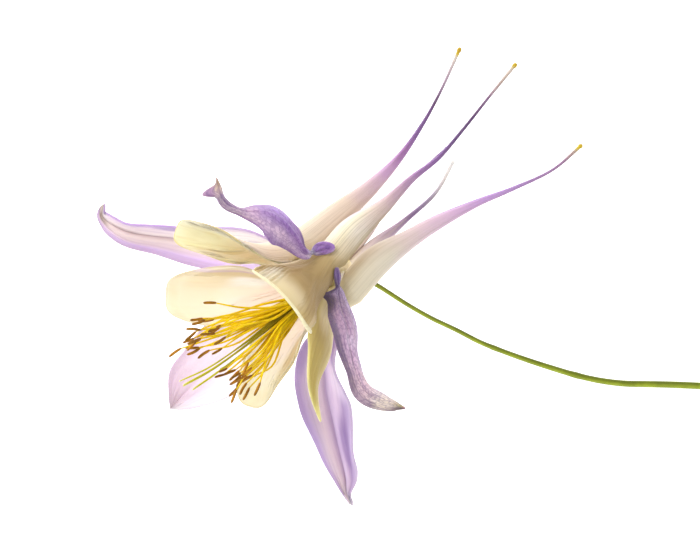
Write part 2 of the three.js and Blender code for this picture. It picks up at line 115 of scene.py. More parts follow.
def add_node(tree, kind, settings=None, stops=None, **inputs):
    """Adds a node: its settings, its colour stops, and values or links for its inputs."""
    made = tree.nodes.new(kind)
    for key, value in (settings or {}).items():
        setattr(made, key, value)
    if stops:
        ramp = made.color_ramp
        while len(ramp.elements) > 1:
            ramp.elements.remove(ramp.elements[0])
        for i, (place, code) in enumerate(stops):
            step = ramp.elements[0] if i == 0 else ramp.elements.new(place)
            step.position = place
            step.color = linear(code) if isinstance(code, str) else (code, code, code, 1.0)
    for key, value in inputs.items():
        name = key.replace("_", " ")
        if name[0] == "n" and name[1:].isdigit():
            name = int(name[1:])
        if isinstance(value, bpy.types.NodeSocket):
            tree.links.new(value, made.inputs[name])
        else:
            made.inputs[name].default_value = value
    return made


def blank_material(name):
    """A new material with an empty node tree."""
    material = bpy.data.materials.new(name)
    material.use_nodes = True
    material.node_tree.nodes.clear()
    return material


print("mid grey in linear light:", round(linear("808080")[0], 3))

# %% [markdown]
# ## Floor
#
# Pressed and picked flowers are often laid on a light table, so that light comes
# through the thin petals. The floor is such a table: a plain sheet of opal glass that
# glows softly and evenly, which only takes a shader with some emission. It lies a hair
# below the flower, so that no two surfaces share a plane.

# %% Floor
LIGHT_TABLE_GLOW = 0.9
FLOOR_HALF = 3.0  # m, half of its width
FLOOR_DROP = 0.0002  # m

# Lit from behind, it is even and white and shows no shine.
light_table = blank_material("light table, opal glass")
glass = add_node(
    light_table.node_tree, "ShaderNodeBsdfPrincipled",
    Base_Color=linear("f4f4f4"), Roughness=0.6,
    Emission_Color=linear("ffffff"), Emission_Strength=LIGHT_TABLE_GLOW,
)
add_node(light_table.node_tree, "ShaderNodeOutputMaterial", Surface=glass.outputs["BSDF"])

floor_mesh = bpy.data.meshes.new("floor")
bm = bmesh.new()
bmesh.ops.create_grid(bm, x_segments=1, y_segments=1, size=FLOOR_HALF)
bm.to_mesh(floor_mesh)
bm.free()
floor = bpy.data.objects.new("floor", floor_mesh)
floor.location.z = -FLOOR_DROP
bpy.context.scene.collection.objects.link(floor)
floor.data.materials.append(light_table)
floor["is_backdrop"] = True
print("a floor of", 2 * FLOOR_HALF, "m")

# %% [markdown]
# ## Light
#
# One large soft lamp from the upper left gives the folds a light and a dark side, and
# a white world fills the rest. The larger a lamp is for its distance, the softer its
# shadows are. The Standard view keeps white paper white.

# %% Light
WORLD_GLOW = 0.62
SOFTBOX_SIZE = 0.7  # m
SOFTBOX_POWER = 9.0  # W
SOFTBOX_AT = Vector((-0.55, 0.5, 0.85))  # m

world = bpy.data.worlds.new("studio")
world.use_nodes = True
world.node_tree.nodes["Background"].inputs["Color"].default_value = linear("ffffff")
world.node_tree.nodes["Background"].inputs["Strength"].default_value = WORLD_GLOW
bpy.context.scene.world = world

lamp_data = bpy.data.lights.new("softbox", "AREA")
lamp_data.size = SOFTBOX_SIZE
lamp_data.energy = SOFTBOX_POWER
lamp = bpy.data.objects.new("softbox", lamp_data)
lamp.location = SOFTBOX_AT
lamp.rotation_euler = (-SOFTBOX_AT).to_track_quat("-Z", "Y").to_euler()
bpy.context.scene.collection.objects.link(lamp)

bpy.context.scene.view_settings.view_transform = "Standard"
print("a white world and one softbox of", lamp_data.energy, "W")

# %% [markdown]
# ## The flower's own directions
#
# The flower's axis runs from the spurs at the back to the stamens in front. It is
# turned 40 degrees on the table and the spurs dip 20 degrees towards it. Points of the
# flower are measured in millimetres from the receptacle, and petals and sepals take
# turns around the axis.

# %% Directions
AXIS_TURN = math.radians(40)
AXIS_DIP = math.radians(20)
WHORL_TURN = 17.0  # degrees that the first petal leans round from straight up

BACK = Vector((
    math.cos(AXIS_TURN) * math.cos(AXIS_DIP),
    math.sin(AXIS_TURN) * math.cos(AXIS_DIP),
    -math.sin(AXIS_DIP),
))
ASIDE = Vector((-math.sin(AXIS_TURN), math.cos(AXIS_TURN), 0.0))
UPWARD = (Vector((0, 0, 1)) - BACK * BACK.z).normalized()


def outward(degrees):
    """Away from the axis, at an angle from straight up."""
    a = math.radians(degrees)
    return ASIDE * math.sin(a) + UPWARD * math.cos(a)


def around(degrees, radius, forward):
    """A point by its angle round the axis, its distance from it and how far forward it is."""
    return outward(degrees) * radius - BACK * forward


print("the spurs point to", [round(c, 2) for c in BACK])

# %% [markdown]
# ## Curves
#
# `along` draws a smooth curve through evenly spaced values, numbers and points alike.
# It is a Catmull-Rom spline, which passes through every value it is given, so each
# number stays easy to read off the flower. `ease` and `mix` blend one thing into
# another without a kink.

# %% Curves
def along(values, t):
    """The value at a share t of the way along a list."""
    last = len(values) - 1
    if last == 0:
        return values[0]
    i = min(last - 1, max(0, int(t * last)))
    u = t * last - i
    p1, p2 = values[i], values[i + 1]
    p0 = values[i - 1] if i > 0 else p1 * 2 - p2
    p3 = values[i + 2] if i + 2 <= last else p2 * 2 - p1
    return (
        p1 * 2 + (p2 - p0) * u + (p0 * 2 - p1 * 5 + p2 * 4 - p3) * (u * u)
        + (p1 * 3 - p0 - p2 * 3 + p3) * (u ** 3)
    ) * 0.5


def clamp(x, low=0.0, high=1.0):
    return max(low, min(high, x))


def ease(x):
    """Rises smoothly from 0 to 1."""
    x = clamp(x)
    return x * x * (3 - 2 * x)


def mix(a, b, share):
    return a + (b - a) * share


print("a quarter along 0, 1, 4:", along([0, 1, 4], 0.25))

# %% [markdown]
# ## A strip along a midline
#
# A petal or sepal is a strip whose middle follows a curve. `frame_at` gives a midline
# three directions: ahead, back of the blade and sideways. `on_strip` curls the strip
# across that midline like the bent blade of a petal. With a half angle of 180 degrees
# the strip closes into a tube, which is how a spur and a blade can be one surface.

# %% A strip along a midline
FLATTEST = 0.02  # radians; a flatter strip would divide by next to nothing


def frame_at(midline, backs, t):
    """The place on a midline, the direction of its back there and the one to its side."""
    step = 0.004
    heading = (along(midline, min(1, t + step)) - along(midline, max(0, t - step))).normalized()
    back = along(backs, t)
    back = (back - heading * back.dot(heading)).normalized()
    return along(midline, t), back, heading.cross(back)


def on_strip(place, half_width, curl, across):
    """A point across a strip that is curled away from its back."""
    at, back, side = place
    k = FLATTEST if abs(curl) < FLATTEST else curl
    return (
        at + side * (half_width * math.sin(k * across) / k)
        - back * (half_width * (1 - math.cos(k * across)) / k)
    )


edge = on_strip((Vector(), UPWARD, ASIDE), 1.0, math.radians(90), 1.0)
print("the edge of a strip curled by 90 degrees is", round(edge.length, 2), "half widths away")

# %% [markdown]
# ## From a grid to a sheet
#
# Every sheet starts as a flat grid. Its columns become places across the sheet and its
# rows places along it. The UV map is set while the grid is still flat, so u runs
# across and v along, whatever the sheet is bent into. Then each vertex moves to its
# place. A sculpted sheet would look as good, but this one can be changed by a number.

# %% From a grid to a sheet
def bend_grid(bm, across, stations, place, v_of=None, thickness_of=None, relief=None, rest=0.0):
    """Adds a grid to bm and moves it: place(a, s) gives a point in mm from the receptacle.

    v_of(s) is where a row is on the UV map, thickness_of(a, s) its share of the wall,
    relief(a, s) lifts it off its own surface, and rest is the height it may lie at."""
    columns, rows = len(across) - 1, len(stations) - 1
    uv = bm.loops.layers.uv.verify()
    wall = bm.verts.layers.deform.verify()
    made = bmesh.ops.create_grid(bm, x_segments=columns, y_segments=rows, size=1.0)["verts"]
    spots = {}
    for vert in made:
        i = round((vert.co.x + 1) / 2 * columns)
        j = round((vert.co.y + 1) / 2 * rows)
        spots[vert] = (across[i], stations[j])
    for face in {face for vert in made for face in vert.link_faces}:
        face.smooth = True
        for loop in face.loops:
            a, s = spots[loop.vert]
            loop[uv].uv = ((a + 1) / 2, v_of(s) if v_of else s)
    for vert, (a, s) in spots.items():
        vert.co = (place(a, s) + RECEPTACLE_AT) * MM
        vert[wall][0] = thickness_of(a, s) if thickness_of else 1.0
    bm.normal_update()
    lifts = {}
    if relief:
        lifts = {vert: vert.normal * (relief(a, s) * MM) for vert, (a, s) in spots.items()}
    for vert in made:
        vert.co += lifts.get(vert, Vector())
        vert.co.z = max(vert.co.z, rest * MM)


def even(count, low=0.0, high=1.0):
    """Evenly spaced numbers from low to high."""
    return [low + (high - low) * i / count for i in range(count + 1)]


bm = bmesh.new()
bend_grid(bm, even(4, -1, 1), even(6), lambda a, s: Vector((a, s, 0)))
print("a trial grid has", len(bm.faces), "faces")
bm.free()

# %% [markdown]
# ## From a sheet to a piece
#
# Doubles are merged, which closes seams and poles, and a Solidify modifier gives the
# sheet its thickness. It reads a vertex group, so the wall can thin out towards an
# edge. Each piece is then told which body it rides on, which material slot it has and
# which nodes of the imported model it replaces.

# %% From a sheet to a piece
MERGE_DISTANCE = 0.00001  # m


def finish_piece(bm, name, materials, nodes=(), wall=None, offset=-1.0):
    """Merges doubles, makes the object, and gives it a wall in mm, a body and a slot."""
    bmesh.ops.remove_doubles(bm, verts=bm.verts, dist=MERGE_DISTANCE)
    mesh = bpy.data.meshes.new(name)
    bm.to_mesh(mesh)
    bm.free()
    piece = bpy.data.objects.new(name, mesh)
    bpy.context.scene.collection.objects.link(piece)
    for material in materials:
        mesh.materials.append(material)
    piece.vertex_groups.new(name="wall")
    if wall:
        solidify = piece.modifiers.new("wall", "SOLIDIFY")
        solidify.thickness = wall * MM
        solidify.offset = offset
        solidify.use_rim = True
        solidify.vertex_group = "wall"
        solidify.material_offset = min(1, len(materials) - 1)
        solidify.material_offset_rim = min(2, len(materials) - 1)
    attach(piece, "root")
    if nodes:
        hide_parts(*nodes)
    print(name, len(mesh.polygons), "faces before the wall")


print("vertices closer than", MERGE_DISTANCE * 1000, "mm become one")

# %% [markdown]
# ## Petals: the numbers
#
# Each petal is driven by a few numbers. `turned` is its turn round the flower's axis
# in degrees, `spur` the spur's midline from its tip to the throat and `radii` its
# radius on the way, `blade` the midline of the blade, `backs` which way the back of
# the blade faces, `half_widths` and `curls` how wide it is and how far it is bent
# round, `tip` how square its end is and `skew` how much shorter its lower side is.
# `roll` is how far the margin is rolled back, in degrees, between the places in
# `rolled`, and `roll_radius` and `roll_taper` how wide that roll is. `ruffle` is how
# high and how many the waves of the blade are, and `crinkle` the height of the
# crinkles between its veins. `pleats` are patches of fine folds: their place, their
# reach, their depth in mm, and how many fit across the middle of the sheet and round
# its sides.

# %% Petals: the numbers
def points(rows):
    return [Vector(row) for row in rows]


PETALS = {
    "petal_front": dict(
        turned=0,
        spur=[
            (28.5, 33.2, -3), (24.1, 27.8, -0.6), (19.8, 22.4, 1.4), (15.9, 17.9, 3),
            (11.6, 14.5, 4.2), (7.2, 10.2, 5.2), (2.4, 6.3, 6), (-0.9, 2.4, 6.6),
        ],
        radii=[0.3, 0.24, 0.27, 0.36, 0.6, 1.22, 2.3, 2.5],
        blade=[(-3.6, 0.2, 11), (-6.1, -1.9, 14), (-8.6, -4.2, 16.5)],
        backs=[(0.25, 0.35, 0.9), (0.3, 0.35, 0.88), (0.35, 0.35, 0.87)],
        half_widths=[5.9, 7.3, 7.8], curls=[95, 62, 42], tip=8, skew=0,
        rolled=(-0.58, 0.5), roll=130, roll_radius=0.46, roll_taper=1.4,
        ruffle=(0.06, 5), crinkle=0.07,
        pleats=[(0.58, 1.87, 0.5, 0.34, 0.19, 11, 0)],
    ),
    "petal_upper": dict(
        turned=72,
        spur=[
            (19.7, 36.2, -12.5), (16.5, 29.1, -10.8), (13.5, 23.6, -9), (9.7, 18.1, -7),
            (4.8, 13, -4.6), (-0.3, 8.8, -2), (-5.8, 4.2, 0.6),
        ],
        radii=[0.3, 0.24, 0.34, 0.66, 1.35, 2.05, 2.6],
        blade=[(-11.3, 4.4, 3.5), (-16, 4.4, 6), (-20.6, 5.4, 8), (-26, 6.5, 9.5)],
        backs=[(-0.45, 0.85, 0.25), (-0.2, 0.75, -0.3), (0, 0.55, -0.8), (0.1, 0.5, -0.85)],
        half_widths=[5.4, 3.9, 3.3, 3.4], curls=[95, 75, 55, 40], tip=6, skew=0.22,
        rolled=(-1.2, 1.2), roll=60, roll_radius=0.16, roll_taper=0,
        ruffle=(0.06, 5), crinkle=0.06,
        pleats=[(-0.85, 1.84, 0.4, 0.34, 0.045, 0, 15), (-0.9, 1.42, 0.3, 0.3, 0.03, 0, 12)],
    ),
    "petal_lower": dict(
        turned=-72,
        spur=[
            (39.3, 20.3, -8), (34.5, 16.2, -7), (28.2, 13.2, -5.4), (22.2, 10.8, -3.6),
            (16.2, 7.9, -1.7), (11, 4.8, 0.2), (6, 1.4, 1.6), (1.9, -3.1, 2.6),
        ],
        radii=[0.3, 0.24, 0.36, 0.64, 1.15, 1.6, 2.45, 2.6],
        blade=[(-0.5, -7.6, 4), (-1.4, -12.7, 6.2), (-3.4, -18.4, 7.8), (-2.8, -24.4, 8)],
        backs=[(0.9, -0.1, 0.3), (0.93, 0.05, 0.3), (0.9, 0.15, 0.35), (0.85, 0.3, 0.4)],
        half_widths=[5.1, 4.9, 2.6, 1.2], curls=[90, 80, 65, 55], tip=2.4, skew=0,
        rolled=(-0.3, 1.2), roll=40, roll_radius=0.14, roll_taper=0,
        ruffle=(0.06, 4), crinkle=0.05, pleats=[],
    ),
    "petal_back_upper": dict(
        turned=144,
        spur=[
            (17.9, 20.2, -21.6), (13.2, 16.1, -18.6), (8.4, 11.8, -15.4), (4.4, 6.7, -12),
            (0, 2.6, -8.6), (-4.5, -0.6, -5.4),
        ],
        radii=[0.3, 0.3, 0.5, 1.35, 1.95, 2.1],
        blade=[(-9.9, -2.6, -9), (-15.6, -3.5, -11), (-21.5, -4.4, -12), (-28.5, -4.4, -12)],
        backs=[(-0.15, 0.1, -0.97), (-0.05, 0.1, -1), (-0.1, 0.05, -1), (-0.1, 0, -1)],
        half_widths=[4.6, 5.4, 5.3, 4.6], curls=[90, 55, 35, 25], tip=4.5, skew=0.2,
        rolled=(-1.2, 1.2), roll=35, roll_radius=0.3, roll_taper=0,
        ruffle=(0.08, 3), crinkle=0.03, pleats=[],
    ),
    "petal_back_lower": dict(
        turned=-144,
        spur=[
            (18.8, 18, -21.6), (15.7, 12.6, -18.4), (10.5, 7.9, -14.8), (5.7, 3.8, -11.2),
            (2.4, -0.6, -7.4), (0.3, -5.3, -3.6),
        ],
        radii=[0.3, 0.33, 0.5, 1.25, 1.95, 2],
        blade=[(-5.2, -8.4, -6.8), (-9.7, -12.3, -7.6), (-12.9, -17.3, -8), (-14.4, -22.3, -8)],
        backs=[(0.3, -0.3, -0.9), (0.1, -0.1, -1), (0.05, 0, -1), (0.05, 0, -1)],
        half_widths=[3.7, 4.4, 3.9, 4], curls=[90, 55, 35, 20], tip=3, skew=0,
        rolled=(-1.2, 1.2), roll=35, roll_radius=0.3, roll_taper=0,
        ruffle=(0.08, 3), crinkle=0.03, pleats=[],
    ),
}
for petal in PETALS.values():
    for key in ("spur", "blade", "backs"):
        petal[key] = points(petal[key])
print(len(PETALS), "petals")

# %% [markdown]
# ## Petals: spur and blade
#
# One number s walks along a petal: 0 at the spur's tip, 1 at the throat, 2 near the
# margin and a little more over its roll. The other number, a, goes round it from -1
# to 1, with 0 on the back. Near the throat the two edges meet and the sheet is a tube,
# then it opens. The spur's tip ends in the small round knob that holds the nectar. The
# blade's end is a superellipse, which is round or nearly square by one number.

# %% Petals: spur and blade
THROAT_REACH = 0.1  # share of the blade that is still a tube
OPENING_REACH = 0.12  # share over which it then opens
TURN_FROM = 0.7  # share of the spur beyond which it turns to face the blade
KNOB_RADIUS = 0.38  # mm
KNOB_HALF = 0.45  # mm, half of its length


def spur_radius(petal, s):
    """The spur grows out of the small ball at its tip."""
    from_tip = s * petal["length"]
    base = along(petal["radii"], s)
    ball = 1 - (from_tip / KNOB_HALF - 1) ** 2
    knob = KNOB_RADIUS * math.sqrt(ball) if ball > 0 else 0.0
    return knob if from_tip < KNOB_HALF else max(knob, base * clamp((from_tip - 0.25) / 0.6))


def petal_edge(petal, a):
    """How far across the blade the column a ends, from -1 to 1."""
    return math.copysign(math.sin(abs(a) * math.pi / 2) ** (2 / petal["tip"]), a)


def petal_point(petal, a, s):
    """A point of the petal without its roll and its relief."""
    if s <= 1:
        out = outward(WHORL_TURN + petal["turned"])
        at, back, side = frame_at(petal["spur"], [out], s)
        turn = ease((s - TURN_FROM) / (1 - TURN_FROM))
        heading = mix(back.cross(side), petal["opening"], turn).normalized()
        back = (out - heading * out.dot(heading)).normalized()
        r = spur_radius(petal, s)
        return on_strip((at + back * r, back, heading.cross(back)), r * math.pi, math.pi, a)
    corner = max(0.0, math.cos(abs(a) * math.pi / 2)) ** (2 / petal["tip"])
    reach = mix(THROAT_REACH, 1, corner)
    reach *= 1 - petal["skew"] * ease(a)
    t = reach * (s - 1)
    curl = mix(180, along(petal["all_curls"], t), ease((t - THROAT_REACH) / OPENING_REACH))
    return on_strip(
        frame_at(petal["midline"], petal["all_backs"], t),
        along(petal["all_widths"], t), math.radians(curl),
        mix(a, petal_edge(petal, a), ease(s - 1)),
    )


for name, petal in PETALS.items():
    out = outward(WHORL_TURN + petal["turned"])
    at, back, side = frame_at(petal["spur"], [out], 1.0)
    wide = petal["radii"][-1]
    for i in range(8):  # the throat turns until it faces the blade
        heading = (petal["blade"][0] - at - back * wide).normalized()
        back = (out - heading * out.dot(heading)).normalized()
    petal["opening"] = heading
    petal["midline"] = [at + back * wide] + petal["blade"]
    petal["all_backs"] = [out] + petal["backs"]
    petal["all_widths"] = [wide * math.pi] + petal["half_widths"]
    petal["all_curls"] = [180] + petal["curls"]
    steps = [along(petal["spur"], i / 40) for i in range(41)]
    petal["length"] = sum((b - a).length for a, b in zip(steps, steps[1:]))
    print(name, "has a spur of", round(petal["length"], 1), "mm")

# %% [markdown]
# ## Petals: the rolled margin
#
# The margin of the front petal is rolled back like the rim of a bell, and more so
# towards one corner. A bevel would give every edge the same rim. Here a few more rows
# of the grid follow an arc instead, and its angle changes along the margin.

# %% Petals: the rolled margin
ROLL_FROM = 1.98
ROLL_END = 2.1
SIDE_STEP = 0.02


def petal_place(petal, a, s):
    """petal_point, with the margin rolled back beyond ROLL_FROM."""
    if s <= ROLL_FROM:
        return petal_point(petal, a, s)
    at = petal_point(petal, a, ROLL_FROM)
    ahead = at - petal_point(petal, a, ROLL_FROM - SIDE_STEP)
    side = petal_point(petal, min(1, a + SIDE_STEP), ROLL_FROM)
    side = (side - petal_point(petal, max(-1, a - SIDE_STEP), ROLL_FROM)).normalized()
    ahead = (ahead - side * ahead.dot(side)).normalized()
    back = side.cross(ahead).normalized()
    low, high = petal["rolled"]
    share = ease((a - low) / 0.3) * ease((high - a) / 0.15) * ease((1 - abs(a)) / 0.12)
    turned = math.radians(petal["roll"]) * share * (s - ROLL_FROM) / (ROLL_END - ROLL_FROM)
    r = petal["roll_radius"] * (1 - petal["roll_taper"] * a)
    return at + ahead * (r * math.sin(turned)) + back * (r * (1 - math.cos(turned)))


front = PETALS["petal_front"]
rim = petal_place(front, 0.0, ROLL_END) - petal_place(front, 0.0, ROLL_FROM)
print("the front petal's rim is", round(rim.length, 2), "mm wide in the middle")

# %% [markdown]
# ## Petals: ruffles, pleats and crinkles
#
# A petal was folded up in its bud and keeps some of those folds. Long waves, patches of
# fine pleats and crinkles between the veins are added up to one height, and each
# vertex is lifted by it. The silhouette then shows them, which a bump in the material
# can't do. Along a spur there are only faint ridges.

# %% Petals: ruffles, pleats and crinkles
SPUR_RIDGE = 0.03  # mm high


def petal_relief(petal, a, s):
    """How far the surface stands out, in mm."""
    if s < 1:
        ridges = math.sin(a * math.pi * 5)
        return SPUR_RIDGE * ridges * ease(s / 0.5) * ease((1 - abs(a)) / 0.15)
    height, waves = petal["ruffle"]
    ruffle = height * math.sin(a * math.pi * waves + 1.3 * petal["turned"])
    across = mix(a, petal_edge(petal, a), ease(s - 1))
    wobble = 3 * noise.noise(Vector((across * 3, s * 4, 9.0)))
    pleats = 0.0
    for middle, middle_s, wide, high, deep, folds, side_folds in petal["pleats"]:
        near = 1 - math.hypot((across - middle) / wide, (s - middle_s) / high)
        turns = folds * across + side_folds * a
        pleats += deep * ease(near / 0.5) * math.cos(2 * math.pi * turns + wobble)
    grain = noise.noise(Vector((a * 22, s * 5.0, petal["turned"] * 0.37)))
    fold = noise.noise(Vector((a * 9, s * 3.0, petal["turned"] * 0.61 + 5)))
    crinkle = petal["crinkle"] * (grain + 1.2 * fold) * ease((s - 1.05) / 0.3)
    away = ease((1 - abs(a)) / 0.12) * ease((2.0 - s) / 0.06)
    return away * (ruffle * ease((s - 1.35) / 0.5) + pleats + crinkle)


lifts = [petal_relief(front, a, 1.8) for a in even(200, -1, 1)]
print("relief across the front petal:", round(min(lifts), 2), "to", round(max(lifts), 2), "mm")

# %% [markdown]
# ## Sepals: the numbers
#
# A sepal is a flat leaf on a narrow claw. `midline` runs from its base to its tip with
# `backs`, `half_widths` and `curls` as before. `groove` is a point that its claw runs
# through, between two spurs, and `claw` where the claw joins the blade. `lobes` widen
# one side: where, which side, by how many mm and over what share of the length. The
# two upper sepals keep a small round flap at their base, the `auricle`, given by its
# share of the length and its half width. `waves` are the height and number of ripples
# along the edges, and `keel` is how far the midrib stands out.

# %% Sepals: the numbers
SEPALS = {
    "sepal_left": dict(
        turned=108, groove=(-3.2, 2.7, -3.2), claw=0.09,
        midline=[
            (-6.3, 2.6, -5.4), (-13.1, 4.1, -8), (-18.5, 4.2, -11), (-24.3, 4.7, -14),
            (-30.1, 5.5, -17), (-35.3, 6.4, -20), (-38.8, 8.7, -21.6), (-38.6, 11, -21.2),
        ],
        backs=[
            (0.1, 0.8, -0.5), (0, 0.75, -0.65), (0, 0.75, -0.65), (0, 0.75, -0.65),
            (0, 0.75, -0.65), (0.2, 0.6, -0.75), (0.6, 0.3, -0.7), (0.7, 0, -0.7),
        ],
        half_widths=[0.6, 4.8, 6.2, 5.3, 4.1, 2.6, 1.2, 0.35],
        curls=[25], lobes=[], auricle=(), waves=(0.25, 3), keel=0.25,
    ),
    "sepal_top": dict(
        turned=36, groove=(-3.2, 3.7, 4.6), claw=0.2,
        midline=[
            (-0.6, 3.5, 9.8), (-2.7, 3.4, 10), (-4.4, 2.7, 11.2), (-5.6, 3.2, 12.4),
            (-7.1, 5.5, 13.8), (-9.1, 7.7, 15.4), (-11.9, 9, 17), (-15.3, 9.2, 18.2),
            (-18, 10.8, 19), (-19.2, 14.4, 19.4),
        ],
        backs=[
            (0, 0.3, 0.9), (0, 0.2, 1), (0.3, 0.4, 0.8), (0.4, 0.6, 0.7), (0.4, 0.6, 0.7),
            (0.4, 0.65, 0.65), (0.45, 0.7, 0.5), (0.5, 0.7, 0.5), (0.6, 0.3, 0.7),
            (0.6, 0.1, 0.7),
        ],
        half_widths=[0.35, 1.2, 0.7, 1.7, 3.1, 3.8, 3.1, 0.9, 0.85, 0.15],
        curls=[20, 30, 35, 35, 35, 35, 35, 35, 35, 35],
        lobes=[
            (0.945, -1, 2.5, 0.018), (0.95, 1, 0.3, 0.03), (0.61, -1, 1.3, 0.1),
            (0.42, 1, 0.5, 0.07), (0.74, 1, 0.6, 0.06),
        ],
        auricle=(0.2, 1.02), waves=(0.12, 4), keel=0.2,
    ),
    "sepal_right": dict(
        turned=-36, groove=(0.6, -0.6, 3.8), claw=0.16,
        midline=[
            (-0.4, 0.4, 9.4), (-0.2, -1.4, 8.8), (-0.1, -3.3, 7.6), (0.3, -5.9, 8.4),
            (1.3, -8.9, 11), (1.9, -12.4, 13.8), (2.7, -15.9, 16.2), (4.1, -19, 17.8),
            (6.9, -20.6, 18.6), (10.4, -21.7, 18.8),
        ],
        backs=[
            (0.6, 0.3, 0.7), (0.7, 0.2, 0.6), (0.6, 0.1, 0.7), (0.45, 0.1, 0.85),
            (0.6, 0.1, 0.75), (0.65, 0.1, 0.7), (0.6, 0.3, 0.7), (0.4, 0.4, 0.8), (0.3, 0.5, 0.8),
            (0.2, 0.5, 0.8),
        ],
        half_widths=[0.35, 0.7, 1.3, 2.1, 2.9, 2.5, 1.7, 2, 1.6, 0.35],
        curls=[20, 20, 30, 45, 45, 45, 40, 30, 30, 20],
        lobes=[(0.238, 1, 1.5, 0.042), (0.5, -1, 0.6, 0.1)],
        auricle=(0.175, 0.62), waves=(0.1, 4), keel=-0.35,
    ),
    "sepal_bottom": dict(
        turned=-108, groove=(1.8, -4.8, -1.2), claw=0.04,
        midline=[
            (0.8, -6.4, -2), (-1, -10, -3.8), (-2.4, -13.9, -7), (-2.3, -18.1, -10),
            (-1.7, -22.2, -12.8), (-0.8, -26.2, -15.4), (0.1, -30.2, -18), (0.9, -33.9, -20),
            (1.3, -36.8, -21.6), (2.2, -38.7, -21.6),
        ],
        backs=[
            (0.9, 0.1, -0.35), (0.8, 0.1, -0.5), (0.68, 0.15, -0.7), (0.6, 0.15, -0.78),
            (0.6, 0.2, -0.78), (0.6, 0.2, -0.78), (0.6, 0.2, -0.78), (0.5, 0.3, -0.8),
            (0.4, 0.3, -0.8), (0.4, 0.3, -0.8),
        ],
        half_widths=[0.5, 1.8, 4.4, 5.6, 5.5, 4.9, 3.9, 2.3, 0.8, 0.35],
        curls=[25], lobes=[], auricle=(), waves=(0.35, 3), keel=0.3,
    ),
    "sepal_back": dict(
        turned=180, groove=(-2.4, -2.7, -5.2), claw=0.04,
        midline=[
            (-3.9, -3.7, -8), (-8.3, -6.1, -11), (-13.2, -9.7, -13.8), (-18, -13.7, -16.4),
            (-22.1, -17.3, -18.6), (-25.5, -20.5, -20.5), (-27.8, -22.8, -21.8),
        ],
        backs=[(0.27, 0.22, -0.93)],
        half_widths=[0.6, 4, 6, 6.2, 5, 2.8, 0.35],
        curls=[20],
        lobes=[(0.78, -1, 1, 0.1)],
        auricle=(), waves=(0.2, 2), keel=0.15,
    ),
}
for sepal in SEPALS.values():
    for key in ("midline", "backs"):
        sepal[key] = points(sepal[key])
    sepal["groove"] = Vector(sepal["groove"])
print(len(SEPALS), "sepals")

# %% [markdown]
# ## Sepals: the outline
#
# A sepal tapers to both ends, so its width is a curve through a few numbers, rounded
# off at the base and the tip. Lobes add to it on one side only, and the flap is half
# an ellipse that ends in a narrow neck. An outline drawn by hand would need dozens of
# points for the same leaf.

# %% Sepals: the outline
BLADE_FROM_FLAP = 0.07  # share of the length over which the blade grows out of the neck
NECK = 0.2  # mm, half of its width


def sepal_place(sepal, a, t):
    """A point of the sepal without its relief, by its share across and along it."""
    half = along(sepal["half_widths"], t)
    half *= math.sqrt(clamp((1 - t) / 0.05)) * math.sqrt(clamp((t + 0.004) / 0.02))
    for place, side, more, share in sepal["lobes"]:
        if a * side > 0:
            half += more * math.exp(-(((t - place) / share) ** 2))
    if sepal["auricle"]:
        length, wide = sepal["auricle"]
        flap = wide * math.sqrt(max(0.0, 1 - (2 * t / length - 1) ** 2))
        neck = NECK if t > length / 2 else 0.0
        half = mix(max(flap, neck), half, ease((t - length) / BLADE_FROM_FLAP))
    curl = math.radians(along(sepal["curls"], t))
    return on_strip(frame_at(sepal["midline"], sepal["backs"], t), half, curl, a)


for name, sepal in SEPALS.items():
    width = (sepal_place(sepal, 1, 0.5) - sepal_place(sepal, -1, 0.5)).length
    print(name, "is", round(width, 1), "mm wide in the middle")

# %% [markdown]
# ## Sepals: midrib and ripples
#
# A midrib stiffens a sepal, and beyond it the sheet ripples towards its edges, more the
# further out. Soft dents between them come from a smooth noise, which looks grown where
# a sine would look pressed.

# %% Sepals: midrib and ripples
MIDRIB_WIDTH = 0.09  # share of the half width
DENT, GRAIN = 0.28, 0.07  # mm deep


def sepal_relief(sepal, a, t):
    """The midrib, the ripples along the edges and the soft dents between them, in mm."""
    blade = ease(t / 0.15) * ease((1 - t) / 0.12)
    height, count = sepal["waves"]
    phase = sepal["turned"] + (1.1 if a > 0 else 0.0)
    ripple = height * a * abs(a) * math.sin(2 * math.pi * count * t + phase)
    midrib = sepal["keel"] * math.exp(-((a / MIDRIB_WIDTH) ** 2))
    dents = noise.noise(Vector((a * 2.2, t * 5, sepal["turned"] * 0.1)))
    grain = noise.noise(Vector((a * 9, t * 7, sepal["turned"] * 0.1 + 3)))
    return blade * (ripple + midrib + DENT * dents + GRAIN * grain)


lifts = [sepal_relief(SEPALS["sepal_left"], a, 0.5) for a in even(200, -1, 1)]
print("relief across the left sepal:", round(min(lifts), 2), "to", round(max(lifts), 2), "mm")

# %% [markdown]
# ## What petal flesh looks like
#
# A petal is a few tenths of a millimetre of wet, loose cells under a skin of small
# domes. The domes give it a soft silky shine, and the wet cells let light through. Its
# colour changes along its length and a little across it. Painting that on an image
# would tie it to one petal. Colour stops on the piece's own UV map follow every bend
# of any petal.

